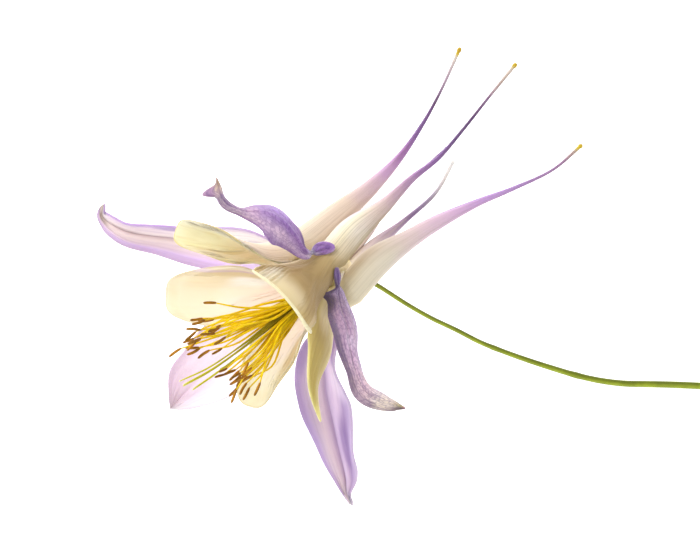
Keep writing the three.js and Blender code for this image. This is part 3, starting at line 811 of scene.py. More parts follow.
# %% Colour along and across a sheet
def ground_colour(tree, uv, wander, lengthwise, crosswise, slant, full):
    """The colour along a sheet, with a second one across it laid over by its share."""
    v = add_node(tree, "ShaderNodeMath", n0=uv.outputs["Y"], n1=wander)
    colour = add_node(
        tree, "ShaderNodeValToRGB", stops=[(s / full, code) for s, code in lengthwise],
        Fac=v.outputs["Value"],
    ).outputs["Color"]
    if not crosswise:
        return colour
    sheared = add_node(
        tree, "ShaderNodeMath", {"operation": "MULTIPLY_ADD"},
        n0=uv.outputs["Y"], n1=slant, n2=uv.outputs["X"],
    )
    u = add_node(tree, "ShaderNodeMath", n0=sheared.outputs["Value"], n1=wander)
    tint = add_node(
        tree, "ShaderNodeValToRGB", stops=[(s, code) for s, code, share in crosswise],
        Fac=u.outputs["Value"],
    )
    shares = add_node(
        tree, "ShaderNodeValToRGB", stops=[(s, share) for s, code, share in crosswise],
        Fac=u.outputs["Value"],
    )
    return add_node(
        tree, "ShaderNodeMix", {"data_type": "RGBA"}, n0=shares.outputs["Color"],
        n6=colour, n7=tint.outputs["Color"],
    ).outputs[2]


print("colour stops run along v, and the second ones across u")

# %% [markdown]
# ## Soft patches
#
# Blush, painted shade and pale spots, some of them painted light, sit in places that no
# stop reaches. Each is an oval on the UV map: a Mapping node moves and stretches it onto
# a ball gradient, and a smooth map range softens its edge.

# %% Soft patches
def spotted(tree, place, colour, patches, full):
    """The same colour with soft ovals over it: (a, s, reach in a, in s, colour, share)."""
    for a, s, wide, high, code, share in patches:
        nearby = add_node(
            tree, "ShaderNodeMapping", Vector=place.outputs["UV"],
            Location=(-(a + 1) / wide, -s / high, 0.0), Scale=(2 / wide, full / high, 1.0),
        )
        ball = add_node(
            tree, "ShaderNodeTexGradient", {"gradient_type": "SPHERICAL"},
            Vector=nearby.outputs["Vector"],
        )
        oval = add_node(
            tree, "ShaderNodeMapRange", {"interpolation_type": "SMOOTHSTEP"},
            Value=ball.outputs["Fac"], From_Max=0.7, To_Max=share,
        )
        colour = add_node(
            tree, "ShaderNodeMix", {"data_type": "RGBA"}, n0=oval.outputs["Result"],
            n6=colour, n7=linear(code),
        ).outputs[2]
    return colour


print("a patch fades out over its own reach")

# %% [markdown]
# ## Veins and the net between them
#
# Veins run from the base of a petal to its margin. A noise that is stretched along v
# gives lines of that kind, uneven as real ones are. On a sepal a fine net joins them:
# the edges of Voronoi cells, bent a little by the same noise.

# %% Veins and the net between them
NET_CELLS = 34  # meshes of the vein net along a sepal, so each is about 0.9 mm long


def veined(tree, place, colour, veins, vein_colour, vein_share, net_share, full):
    """The colour with veins over it, and the height of those veins for the bump."""
    stretched = add_node(
        tree, "ShaderNodeMapping", Vector=place.outputs["UV"], Scale=(veins, 3.0 * full, 1.0),
    )
    lines = add_node(
        tree, "ShaderNodeTexNoise", Vector=stretched.outputs["Vector"],
        Scale=1.0, Detail=3.0, Roughness=0.65, Distortion=0.25,
    )
    vein = add_node(
        tree, "ShaderNodeMapRange", Value=lines.outputs["Fac"],
        From_Min=0.52, From_Max=0.38, To_Min=0.0, To_Max=vein_share,
    )
    colour = add_node(
        tree, "ShaderNodeMix", {"data_type": "RGBA"}, n0=vein.outputs["Result"],
        n6=colour, n7=linear(vein_colour),
    ).outputs[2]
    if not net_share:
        return colour, lines.outputs["Fac"]
    squares = add_node(
        tree, "ShaderNodeMapping", Vector=place.outputs["UV"],
        Scale=(veins * 0.45, NET_CELLS * full, 1.0),
    )
    bent = add_node(
        tree, "ShaderNodeVectorMath", {"operation": "MULTIPLY_ADD"},
        n0=lines.outputs["Color"], n1=(1.6, 1.2, 0.0), n2=squares.outputs["Vector"],
    )
    meshes = add_node(
        tree, "ShaderNodeTexVoronoi", {"feature": "DISTANCE_TO_EDGE"},
        Vector=bent.outputs["Vector"], Scale=1.0,
    )
    net = add_node(
        tree, "ShaderNodeMapRange", Value=meshes.outputs["Distance"],
        From_Min=0.0, From_Max=0.16, To_Min=net_share, To_Max=0.0,
    )
    colour = add_node(
        tree, "ShaderNodeMix", {"data_type": "RGBA"}, n0=net.outputs["Result"],
        n6=colour, n7=linear(vein_colour),
    ).outputs[2]
    height = add_node(
        tree, "ShaderNodeMath", {"operation": "SUBTRACT"},
        n0=lines.outputs["Fac"], n1=net.outputs["Result"],
    )
    return colour, height.outputs["Value"]


print("vein net of", NET_CELLS, "meshes along a sepal")

# %% [markdown]
# ## Flesh
#
# The layers come together in one shader. Subsurface scattering lets the light table
# shine through the sheet, a little sheen stands for the silky domes, and the bump
# carries veins and domes. Clouds of a few millimetres shift the colour stops, so that
# no border between two colours is a straight line.

# %% Flesh
FLESH_IOR = 1.4  # wet plant cells
FLESH_GLOW = 0.5  # share of the light that goes through the cells
SKIN_CELL = 0.35  # mm; real domes are ten times finer, this is as coarse as it takes to show
CLOUD = 5.0  # mm, size of the patches in which a petal is a little paler or darker


def flesh(name, lengthwise, veins, vein_colour, vein_share, crosswise=(), patches=(),
          slant=0.0, net_share=0.0, relief=0.25, full=1.0):
    """The skin of one sheet, coloured by its place on it.

    lengthwise has (place, colour) and crosswise (place, colour, share of that colour),
    which slant shears along the sheet. relief is the height of the bump in mm, and full
    the value of s at the far edge of the UV map."""
    material = blank_material(name)
    tree = material.node_tree
    place = add_node(tree, "ShaderNodeTexCoord")
    uv = add_node(tree, "ShaderNodeSeparateXYZ", Vector=place.outputs["UV"])
    clouds = add_node(
        tree, "ShaderNodeTexNoise", Vector=place.outputs["Object"],
        Scale=1000.0 / CLOUD, Detail=3.0, Roughness=0.6,
    )
    wander = add_node(
        tree, "ShaderNodeMath", {"operation": "MULTIPLY_ADD"},
        n0=clouds.outputs["Fac"], n1=0.05, n2=-0.025,
    ).outputs["Value"]
    colour = ground_colour(tree, uv, wander, lengthwise, crosswise, slant, full)
    colour = spotted(tree, place, colour, patches, full)
    colour, height = veined(
        tree, place, colour, veins, vein_colour, vein_share, net_share, full,
    )
    domes = add_node(
        tree, "ShaderNodeTexNoise", Vector=place.outputs["Object"],
        Scale=1000.0 / SKIN_CELL, Detail=1.0,
    )
    height = add_node(
        tree, "ShaderNodeMath", {"operation": "MULTIPLY_ADD"},
        n0=domes.outputs["Fac"], n1=0.15, n2=height,
    )
    bump = add_node(
        tree, "ShaderNodeBump", Strength=0.5, Distance=relief * MM,
        Height=height.outputs["Value"],
    )
    skin = add_node(
        tree, "ShaderNodeBsdfPrincipled", Base_Color=colour, Roughness=0.5, IOR=FLESH_IOR,
        Subsurface_Weight=FLESH_GLOW, Subsurface_Scale=1.2 * MM,
        Subsurface_Radius=(1.0, 0.95, 0.85),
        Sheen_Weight=0.08, Sheen_Roughness=0.4, Normal=bump.outputs["Normal"],
    )
    add_node(tree, "ShaderNodeOutputMaterial", Surface=skin.outputs["BSDF"])
    return material


print("domes of", SKIN_CELL, "mm and clouds of", CLOUD, "mm")

# %% [markdown]
# ## Petal colours outside
#
# The outside of a petal is most of what shows: the whole spur and the back of the
# blade. On this flower the spurs fade from cream at the throat to violet near the tip,
# and the knobs are yellow. The places are those of s, so 1.0 is the throat. Veins are
# a little darker than the flesh around them.

# %% Petal colours outside
PETAL_OUTER = {
    "petal_front": dict(
        # The tan of the blade, from 1.15 to 1.97, is painted shade: the petal is cream, and the
        # spurs and sheets behind it hold back the light of the table.
        lengthwise=[
            (0.0, "c8a028"), (0.02, "d8b420"), (0.03, "e8d0c0"), (0.09, "c8b0a8"),
            (0.15, "8a6c90"), (0.24, "583870"), (0.33, "684c80"), (0.46, "8c64a4"),
            (0.57, "a880b0"), (0.66, "c8a8b8"), (0.76, "e2cac0"), (0.86, "faead8"),
            (1.0, "e4d0ac"), (1.15, "bca474"), (1.5, "a68d60"), (1.8, "b29a6a"), (1.97, "c4ae78"),
            (2.0, "f0e4b0"),
        ],
        # The olive tan patches on the spur's lower side, at the throat and in the middle of the
        # blade are painted shade, and the paler ones on the blade lighten it. The pale pink patch
        # at (0.35, 0.95) is a painted highlight beside the upper sepal's flap.
        patches=[
            (-0.6, 0.86, 0.35, 0.3, "9c8450", 0.75), (0.5, 0.76, 0.35, 0.3, "d0b4dc", 0.7),
            (0.1, 0.92, 0.25, 0.2, "fbeec4", 0.5), (0.35, 0.95, 0.35, 0.15, "f8e4d0", 0.85),
            (-0.5, 1.08, 0.35, 0.22, "a08850", 0.6), (0.62, 1.55, 0.4, 0.35, "e0cca0", 0.7),
            (0.12, 1.86, 0.2, 0.3, "f8ecd0", 0.7), (-0.1, 1.5, 0.5, 0.35, "a2885a", 0.5),
            (-0.5, 1.92, 0.35, 0.25, "dcc498", 0.7),
        ],
        veins=84, vein_colour="8c7444", vein_share=0.34, relief=0.2,
    ),
    "petal_upper": dict(
        lengthwise=[
            (0.0, "c8a028"), (0.018, "d8b420"), (0.03, "e4d4c4"), (0.1, "b8a0b4"),
            (0.22, "5c3c6c"), (0.38, "805c98"), (0.47, "a070a8"), (0.58, "c8a0c4"),
            (0.68, "d4b8bc"), (0.8, "e4ccb8"), (1.0, "ead8c0"), (1.2, "eedabf"), (1.5, "e8d4b8"),
            (1.95, "f0e4b8"),
        ],
        # The tan patch at (-0.95, 0.75) is painted shade on the lower side of the spur.
        patches=[
            (-0.95, 0.75, 0.35, 0.35, "b09078", 0.4), (0.3, 0.55, 0.4, 0.3, "c8a0d4", 0.4),
            (-0.6, 1.35, 0.4, 0.3, "ecd4bc", 0.6), (-0.75, 1.85, 0.3, 0.25, "fbf3dc", 0.6),
        ],
        veins=70, vein_colour="a08464", vein_share=0.26, relief=0.16,
    ),
    "petal_lower": dict(
        lengthwise=[
            (0.0, "c8a028"), (0.022, "e0c020"), (0.035, "b8a090"), (0.1, "9c7898"),
            (0.25, "a884bc"), (0.4, "c49cd4"), (0.52, "e0b8d8"), (0.66, "ecccd4"),
            (0.8, "ecdac8"), (0.95, "ead8b8"), (1.1, "ecdcb4"), (1.5, "c0b078"), (1.85, "beac64"),
            (2.0, "ece090"),
        ],
        patches=[
            (-0.25, 0.45, 0.4, 0.4, "d0a8c8", 0.5), (0.76, 0.35, 0.35, 0.35, "9a80c4", 0.7),
            (0.2, 0.9, 0.3, 0.2, "f6ead0", 0.5), (0.35, 1.75, 0.3, 0.3, "b4a45c", 0.5),
            (0.5, 1.3, 0.4, 0.25, "f4e6c0", 0.8),
        ],
        veins=40, vein_colour="a08c60", vein_share=0.14, relief=0.1,
    ),
    "petal_back_upper": dict(
        lengthwise=[
            (0.0, "6c5088"), (0.08, "785888"), (0.12, "a890ac"), (0.2, "a08ca8"),
            (0.35, "886c90"), (0.5, "d4bcc4"), (0.65, "f0dcd0"), (1.0, "f4ead8"), (2.0, "f4eee0"),
        ],
        veins=18, vein_colour="ecdcb0", vein_share=0.2,
    ),
    "petal_back_lower": dict(
        lengthwise=[
            (0.0, "fbf4ec"), (0.1, "ece0da"), (0.2, "a498ac"), (0.35, "806490"), (0.5, "b8a0b0"),
            (0.65, "e8d6d0"), (0.8, "f6e8d0"), (1.0, "f0e2c0"), (2.0, "f4ead0"),
        ],
        veins=18, vein_colour="ecdcb0", vein_share=0.2,
    ),
}
print("outsides:", sorted(PETAL_OUTER))

# %% [markdown]
# ## Petal colours inside
#
# The inside is paler, since light that came through the sheet leaves it here: partly the
# petal's own cream, partly painted light. Only the blades show it, so few stops are
# needed for the spurs.

# %% Petal colours inside
PETAL_INNER = {
    "petal_front": dict(
        lengthwise=[
            (0.0, "c8b060"), (1.0, "dcc878"), (1.5, "efe6b8"), (1.95, "f0e6bc"), (2.1, "f0e4b4"),
        ],
        veins=56, vein_colour="c0a860", vein_share=0.2,
    ),
    "petal_upper": dict(
        lengthwise=[
            (0.0, "c8b060"), (1.0, "ecdcc4"), (1.4, "ecdabc"), (1.7, "f0e6bc"), (1.95, "f0e4b0"),
            (2.0, "e8d898"), (2.05, "d4bc74"),
        ],
        # The near-white patches at (-0.4, 1.86) and (-0.35, 1.62) are painted light, lifting the
        # shade where the top of the blade bends away from the lamp. The thin tan line at a = 0.32
        # is painted shade in a crease.
        patches=[
            (0.5, 1.75, 0.38, 0.5, "eedcc0", 0.8), (0.55, 1.4, 0.4, 0.3, "f0dcc4", 0.7),
            (-0.4, 1.86, 0.6, 0.4, "faf0d0", 0.8), (0.32, 1.65, 0.07, 0.4, "c0a86c", 0.4),
            (-0.35, 1.62, 0.35, 0.25, "fffcf0", 0.7),
        ],
        veins=50, vein_colour="c8a860", vein_share=0.22, relief=0.06,
    ),
    "petal_lower": dict(
        lengthwise=[
            (0.0, "c8b060"), (1.0, "dccca0"), (1.5, "c8b888"), (1.9, "d8cc84"), (2.0, "f0e49c"),
        ],
        veins=30, vein_colour="a08c50", vein_share=0.3,
    ),
    "petal_back_upper": dict(
        lengthwise=[
            (0.0, "c8b060"), (1.0, "e8d8a8"), (1.15, "f6e4dc"), (1.45, "f8eada"),
            (1.75, "eee0ca"), (1.92, "e8dac0"), (2.0, "d4c29c"),
        ],
        # The tan patches on the upper side, at (-0.5, 1.5) and (-0.25, 1.72), are painted shade.
        patches=[
            (-0.5, 1.5, 0.28, 0.6, "dcc69c", 0.75), (-0.62, 1.75, 0.12, 0.7, "d8c0dc", 0.6),
            (-0.25, 1.72, 0.35, 0.25, "e4d2ae", 0.6), (0.2, 1.4, 0.5, 0.3, "f4d4c4", 0.7),
            (-0.2, 1.42, 0.2, 0.22, "fffaf0", 0.7),
        ],
        veins=18, vein_colour="ecdcb8", vein_share=0.2, relief=0.07,
    ),
    "petal_back_lower": dict(
        lengthwise=[
            (0.0, "c8b060"), (1.0, "e8d8a8"), (1.15, "f8e4da"), (1.45, "fbe8dc"), (1.8, "f8ecd0"),
            (1.95, "f2e4bc"), (2.02, "dcc890"),
        ],
        # The tan patch at (0.62, 1.6) is painted shade.
        patches=[
            (0.62, 1.6, 0.3, 0.45, "d2b888", 0.8), (-0.5, 1.75, 0.3, 0.35, "fff6e8", 0.6),
            (0.0, 1.4, 0.5, 0.3, "fbe2d4", 0.6),
        ],
        veins=18, vein_colour="ecdcb8", vein_share=0.2, relief=0.07,
    ),
}
print("insides:", sorted(PETAL_INNER))

# %% [markdown]
# ## Building the petals
#
# A petal is one sheet from knob to margin. The grid has more columns at the seam, where
# the margin turns sharply, and over the broad end of the blade, where a column apart
# would be a facet. It has more rows over the knob and the rolled margin. The wall
# thins at the margin, as a real petal does. The outer face, the inner face and the
# rim between them get a finish each.

# %% Building the petals
PETAL_WALL = 0.35  # mm
SEAM_COLUMNS, BROAD_COLUMNS = 46, 20
SPUR_ROWS, LIMB_ROWS, ROLL_ROWS = 80, 90, 9
KNOB_STEPS = (0, 0.06, 0.17, 0.36, 0.6, 0.86, 1.1, 1.36, 1.57, 1.8, 2.1)


def petal_columns(petal):
    """From -1 to 1, closer together at the seam and over the broad end of the blade."""
    seam = [1 - (1 - x) ** 1.4 for x in even(SEAM_COLUMNS)]
    power = petal["tip"] / 2
    broad = [math.asin(x ** power) * 2 / math.pi for x in even(BROAD_COLUMNS, 0.2, 0.8)]
    half = [0.0]
    for column in sorted(seam + broad):
        if column - half[-1] > 0.002:
            half.append(column)
    return [-h for h in reversed(half)][:-1] + half


def petal_rows(petal):
    """From the knob over the spur and the limb to the end of the roll."""
    half = KNOB_HALF / petal["length"]
    knob = [half * step for step in KNOB_STEPS]
    spur = even(SPUR_ROWS, half * 2.5, 1.0)
    limb = even(LIMB_ROWS, 1.0, ROLL_FROM)[1:]
    return knob + spur + limb + even(ROLL_ROWS, ROLL_FROM, ROLL_END)[1:]


def petal_wall(petal, a, s):
    """The share of the full wall: thin at the knob, at the seam's end and at the margin."""
    if s <= 1:
        return clamp(spur_radius(petal, s) / 0.6)
    seam = ease((abs(a) - 0.85) / 0.15) * ease((s - 1) / 0.2)
    return 1 - 0.6 * max(seam, ease((s - 1.88) / 0.12))


for name, petal in PETALS.items():
    outer = flesh("petal flesh, outside of " + name, full=ROLL_END, **PETAL_OUTER[name])
    inner = flesh("petal flesh, inside of " + name, full=ROLL_END, **PETAL_INNER[name])
    bm = bmesh.new()
    bend_grid(
        bm, petal_columns(petal), petal_rows(petal),
        lambda a, s: petal_place(petal, a, s),
        v_of=lambda s: s / ROLL_END,
        thickness_of=lambda a, s: petal_wall(petal, a, s),
        relief=lambda a, s: petal_relief(petal, a, s),
    )
    finish_piece(bm, name + "_flesh", [outer, inner, inner], [name], wall=PETAL_WALL)

# %% [markdown]
# ## Sepal colours
#
# The sepals are lavender to violet, each a little different: the lower ones are pale
# and see-through, and the upper two have curled in and are darker. Dark patches where
# they are folded double or lie under a petal are painted shade. Their edges are painted
# a shade deeper, painted shade for looking through the sheet at a slant, and the dark
# streaks along the folds of the left and bottom sepals are painted shade too.

# %% Sepal colours
SEPAL_FINISH = {
    "sepal_left": dict(
        # The grey-brown stop at 0.9, before the hook, is painted shade in its fold.
        lengthwise=[
            (0.0, "f8f0f4"), (0.2, "f6eef6"), (0.35, "e0ccde"), (0.5, "ceb8c0"), (0.62, "c8b0b6"),
            (0.75, "d0bab8"), (0.84, "dcc8c4"), (0.9, "b49c94"), (0.95, "c8b490"),
            (0.98, "e8dcb0"), (1.0, "f0e8c8"),
        ],
        # The deeper violet at both edges and the grey-brown stripe down the middle, at 0.49, are
        # painted shade: at the edges for looking through the sheet at a slant, in the middle for
        # its fold.
        crosswise=[
            (0.0, "a484c4", 0.8), (0.07, "c4a8dc", 0.6), (0.2, "f2e6f2", 0.4),
            (0.4, "f0e4e2", 0.5), (0.49, "94808c", 0.55), (0.56, "e8d8d4", 0.5),
            (0.74, "dccad8", 0.3), (0.86, "c8b0e4", 0.7), (1.0, "a48cb4", 0.8),
        ],
        # The grey-brown patches at (-0.1, 0.72) and (0.2, 0.86) are painted shade along the fold
        # to the hook.
        patches=[
            (-0.4, 0.25, 0.7, 0.18, "fffaff", 0.8), (-0.1, 0.72, 0.3, 0.14, "9c8488", 0.5),
            (0.2, 0.86, 0.5, 0.08, "8a7468", 0.65), (-0.8, 0.45, 0.25, 0.12, "8c74b0", 0.6),
        ],
        veins=24, vein_colour="b098b4", vein_share=0.3, relief=0.2,
    ),
    "sepal_top": dict(
        # The pale stops at 0.21 and 0.25 are a painted highlight across the neck.
        lengthwise=[
            (0.0, "8258b0"), (0.14, "8c60b4"), (0.18, "b498cc"), (0.21, "ece0ec"),
            (0.25, "dcc8e0"), (0.3, "a07ab0"), (0.42, "9c74b0"), (0.55, "9a74b8"),
            (0.68, "b090c0"), (0.78, "c4a8b8"), (0.86, "b49ca8"), (0.91, "b49cac"),
            (0.95, "f0dcb8"), (0.975, "ccb070"), (1.0, "b09038"),
        ],
        # The deeper violet at both edges is painted shade for looking through the sheet at a
        # slant.
        crosswise=[
            (0.0, "7c5890", 0.6), (0.06, "b8a0b4", 0.5), (0.18, "dcc4d0", 0.6),
            (0.34, "c8b0c8", 0.4), (0.5, "8c68b0", 0.2), (0.8, "a080c4", 0.2),
            (0.95, "bca0d4", 0.5), (1.0, "9878b8", 0.7),
        ],
        # The dark patches at (0.6, 0.35) and (-0.3, 0.32) are painted shade near the base, where
        # the sheet curls.
        patches=[
            (0.0, 0.08, 1.3, 0.13, "a47cbc", 1.0), (0.1, 0.06, 0.5, 0.04, "643c90", 0.5),
            (0.6, 0.35, 0.5, 0.08, "5c4078", 0.75), (-0.3, 0.32, 0.5, 0.05, "805c90", 0.5),
            (0.5, 0.56, 0.45, 0.1, "bc9ce0", 0.55), (0.1, 0.48, 0.4, 0.07, "845ca4", 0.45),
            (-0.5, 0.55, 0.35, 0.12, "e0c4d4", 0.5), (0.0, 0.72, 0.8, 0.05, "d8b8cc", 0.5),
            (-0.7, 0.945, 0.5, 0.025, "a078b0", 0.7),
        ],
        veins=20, vein_colour="6c4888", vein_share=0.26, net_share=0.45,
    ),
    "sepal_right": dict(
        # The grey stop at 0.29 is a painted shadow of the front petal's edge.
        lengthwise=[
            (0.0, "70489c"), (0.12, "7850a4"), (0.17, "8c64b0"), (0.22, "b49cc4"),
            (0.29, "a08898"), (0.42, "c09cb8"), (0.58, "ccaac8"), (0.68, "e0bed0"),
            (0.78, "f4d4d8"), (0.86, "fff0e4"), (0.93, "fcecd0"), (0.955, "dcd090"),
            (0.98, "b0ac3c"), (1.0, "c85c48"),
        ],
        # The dark stops at both edges are painted shade for looking through the sheet at a slant.
        crosswise=[
            (0.0, "907ca0", 0.6), (0.1, "a48cb0", 0.4), (0.22, "d4bce8", 0.7),
            (0.3, "dcc8e8", 0.7), (0.38, "b49cc0", 0.3), (0.8, "b8a0b4", 0.3),
            (0.95, "988494", 0.5), (1.0, "6c5c70", 0.8),
        ],
        slant=0.3,
        # The dark grey patch at (0.75, 0.29) is a painted shadow of the front petal's edge, and
        # the dark band at (0.9, 0.5) is painted shade along the sepal's edge.
        patches=[
            (0.75, 0.29, 0.6, 0.1, "54444c", 0.8), (0.0, 0.52, 0.4, 0.06, "e8d8ec", 0.4),
            (-0.7, 0.72, 0.4, 0.12, "f0ccc8", 0.5), (0.3, 0.9, 0.9, 0.07, "fff0dc", 0.8),
            (0.7, 0.8, 0.35, 0.07, "ccb4c4", 0.5), (0.9, 0.5, 0.15, 0.3, "5c4c64", 0.6),
            (0.0, 0.06, 1.0, 0.1, "6c4898", 0.5),
        ],
        veins=26, vein_colour="5c4474", vein_share=0.4, net_share=0.5, relief=0.3,
    ),
    "sepal_bottom": dict(
        lengthwise=[
            (0.0, "ccb8d4"), (0.2, "c2acd0"), (0.4, "c2acc8"), (0.6, "baa0c2"), (0.75, "ccb6ca"),
            (0.88, "d0b8c0"), (0.93, "e0d0d0"), (1.0, "f4ece4"),
        ],
        # The dark violet stripes at 0.5 and 0.82 are painted shade in the sepal's long folds.
        crosswise=[
            (0.0, "a894c8", 0.7), (0.08, "b49ed0", 0.6), (0.18, "ccbccc", 0.6),
            (0.3, "d8c4c8", 0.7), (0.42, "ccb4c0", 0.6), (0.5, "9c84ac", 0.7),
            (0.6, "d8c2e2", 0.6), (0.7, "e0c8e4", 0.6), (0.82, "8c6eac", 0.65),
            (0.92, "a48cc4", 0.6), (1.0, "d0c0e4", 0.6),
        ],
        # The dark violet patch at (0.5, 0.6) is painted shade in a fold.
        patches=[
            (-0.8, 0.25, 0.3, 0.12, "9078b0", 0.5), (0.6, 0.3, 0.5, 0.12, "ecdcf0", 0.6),
            (0.5, 0.6, 0.4, 0.2, "785498", 0.75),
        ],
        veins=16, vein_colour="a890b4", vein_share=0.22, relief=0.2,
    ),
    "sepal_back": dict(
        lengthwise=[
            (0.0, "fcf4fe"), (0.4, "f6eaf4"), (0.6, "e8d6e4"), (0.8, "d4bccc"), (0.92, "b8a0ac"),
            (1.0, "a8949c"),
        ],
        crosswise=[
            (0.0, "c0a8c4", 0.6), (0.12, "e0cce4", 0.3), (0.5, "f4e8f6", 0.1),
            (0.85, "fcf6fc", 0.6), (1.0, "f4ecf4", 0.6),
        ],
        veins=16, vein_colour="d4c0d8", vein_share=0.2, relief=0.2,
    ),
}
print("sepals with a net of veins:", [n for n, f in SEPAL_FINISH.items() if "net_share" in f])

# %% [markdown]
# ## Building the sepals
#
# A sepal is a sheet with the same skin on both faces, so one material does, and its
# wall grows to both sides of the grid. Where a tip would dip into the table, `rest`
# holds it up by half of that wall.

# %% Building the sepals
SEPAL_WALL = 0.35  # mm
SEPAL_COLUMNS = 56

sepal_rows = even(110, 0.0, 0.85) + even(50, 0.85, 1.0)[1:]  # closer together at the tip
for name, sepal in SEPALS.items():
    skin = flesh("sepal flesh of " + name, **SEPAL_FINISH[name])
    bm = bmesh.new()
    bend_grid(
        bm, even(SEPAL_COLUMNS, -1, 1), sepal_rows, lambda a, t: sepal_place(sepal, a, t),
        relief=lambda a, t: sepal_relief(sepal, a, t), rest=SEPAL_WALL / 2,
    )
    finish_piece(bm, name + "_flesh", [skin], [name], wall=SEPAL_WALL, offset=0.0)

# %% [markdown]
# ## Stalks
#
# Claws, filaments, styles and the flower's own stalk are all round and solid. A curve
# with a bevel would do for some, but anthers and carpels swell on the way. So a stalk
# is a grid too, whose columns go round a midline. One row at each end shrinks to a
# point, and merging doubles closes it there.

# %% Stalks
END_ROW = 0.01  # how far beyond its end a stalk's closing row is


def stalk(bm, midline, radii, sides, rows, shape=None):
    """A round stalk along a midline. shape(a, t) scales the radius round and along it."""
    across = (midline[-1] - midline[0]).orthogonal()

    def place(a, t):
        here = clamp(t)
        at, back, side = frame_at(midline, [across], here)
        r = along(radii, here) * (shape(a, here) if shape else 1.0)
        if t < 0 or t > 1:
            r = 0.0
        return at + (back * math.cos(math.pi * a) + side * math.sin(math.pi * a)) * r

    stations = [-END_ROW] + even(rows) + [1 + END_ROW]
    bend_grid(bm, even(sides, -1, 1), stations, place, v_of=clamp)


bm = bmesh.new()
stalk(bm, [Vector(), UPWARD], [1.0], 6, 1)
print("a six-sided trial stalk has", len(bm.faces), "faces")
bm.free()

# %% [markdown]
# ## Stalk tissue
#
# Stalks are juicy and smooth, with fine fibres along them. The colour runs along it in stops,
# a noise makes it patchy, and another colour is laid down both sides, from the place
# `tint_from` on. On stalks, filaments, styles, claws and the receptacle that colour is
# lighter: a painted glow for light shining through the rim of a round stalk. On the
# anthers the same two bands are pollen.

# %% Stalk tissue
TISSUE_PATCH = 2.5  # mm
TINT_FADE = 0.03  # share of the length over which the second colour comes in


def tissue(name, colours, side_glow_and_pollen_colour, side_glow_and_pollen_share, glow, roughness=0.45, grain=0.4,
           ridges=8, tint_from=-1.0):
    """Green or yellow stalk tissue: colours along it, and another colour down its sides, a
    painted glow on stalks and pollen on anthers.
    """
    material = blank_material(name)
    tree = material.node_tree
    place = add_node(tree, "ShaderNodeTexCoord")
    uv = add_node(tree, "ShaderNodeSeparateXYZ", Vector=place.outputs["UV"])
    colour = add_node(tree, "ShaderNodeValToRGB", stops=colours, Fac=uv.outputs["Y"])
    # Two bands down the sides: a painted glow on stalks, filaments, styles, claws and the
    # receptacle, and pollen in the two grooves of the anthers.
    sides = add_node(
        tree, "ShaderNodeValToRGB", Fac=uv.outputs["X"],
        stops=[(0.0, 0.0), (0.16, side_glow_and_pollen_share), (0.3, side_glow_and_pollen_share), (0.44, 0.0), (0.56, 0.0),
               (0.7, side_glow_and_pollen_share), (0.84, side_glow_and_pollen_share), (1.0, 0.0)],
    )
    begun = add_node(
        tree, "ShaderNodeMapRange", Value=uv.outputs["Y"],
        From_Min=tint_from, From_Max=tint_from + TINT_FADE, To_Min=0.0, To_Max=1.0,
    )
    tinted = add_node(
        tree, "ShaderNodeMath", {"operation": "MULTIPLY"},
        n0=sides.outputs["Color"], n1=begun.outputs["Result"],
    )
    colour = add_node(
        tree, "ShaderNodeMix", {"data_type": "RGBA"}, n0=tinted.outputs["Value"],
        n6=colour.outputs["Color"], n7=linear(side_glow_and_pollen_colour),
    )
    patches = add_node(
        tree, "ShaderNodeTexNoise", Vector=place.outputs["Object"],
        Scale=1000.0 / TISSUE_PATCH, Detail=3.0,
    )
    shade = add_node(
        tree, "ShaderNodeMapRange", Value=patches.outputs["Fac"],
        From_Min=0.35, From_Max=0.65, To_Min=1.0 - grain * 0.3, To_Max=1.0 + grain * 0.2,
    )
    colour = add_node(
        tree, "ShaderNodeMix", {"data_type": "RGBA", "blend_type": "MULTIPLY"}, n0=1.0,
        n6=colour.outputs[2], n7=shade.outputs["Result"],
    )
    stretched = add_node(
        tree, "ShaderNodeMapping", Vector=place.outputs["UV"], Scale=(ridges, 6.0, 1.0),
    )
    fibres = add_node(
        tree, "ShaderNodeTexNoise", Vector=stretched.outputs["Vector"], Scale=1.0, Detail=2.0,
    )
    bump = add_node(
        tree, "ShaderNodeBump", Strength=0.35, Distance=0.12 * MM, Height=fibres.outputs["Fac"],
    )
    rind = add_node(
        tree, "ShaderNodeBsdfPrincipled", Base_Color=colour.outputs[2], Roughness=roughness,
        IOR=FLESH_IOR, Subsurface_Weight=glow, Subsurface_Scale=0.6 * MM,
        Subsurface_Radius=(1.0, 0.9, 0.5), Normal=bump.outputs["Normal"],
    )
    add_node(tree, "ShaderNodeOutputMaterial", Surface=rind.outputs["BSDF"])
    return material


print("tissue in patches of", TISSUE_PATCH, "mm")

# %% [markdown]
# ## Claws and heels
#
# Under each sepal a thin claw runs back between two spurs to the receptacle, and each
# petal's throat sits on a short heel. Both are stalks, thin and almost clear, with a
# touch of green at the foot. One finish does for all ten.

# %% Claws and heels
SEAT_CIRCLE = 2.1  # mm, where both meet the receptacle
CLAW_FORWARD = 0.4
HEEL_FORWARD = 1.5
HEEL_AT = 0.97  # where the heel grows into the throat, with the throat's mouth at 1
HEEL_LIFT = 0.25
CLAW_RADIUS, CLAW_END = 0.26, 0.22
HEEL_RADIUS = 0.35

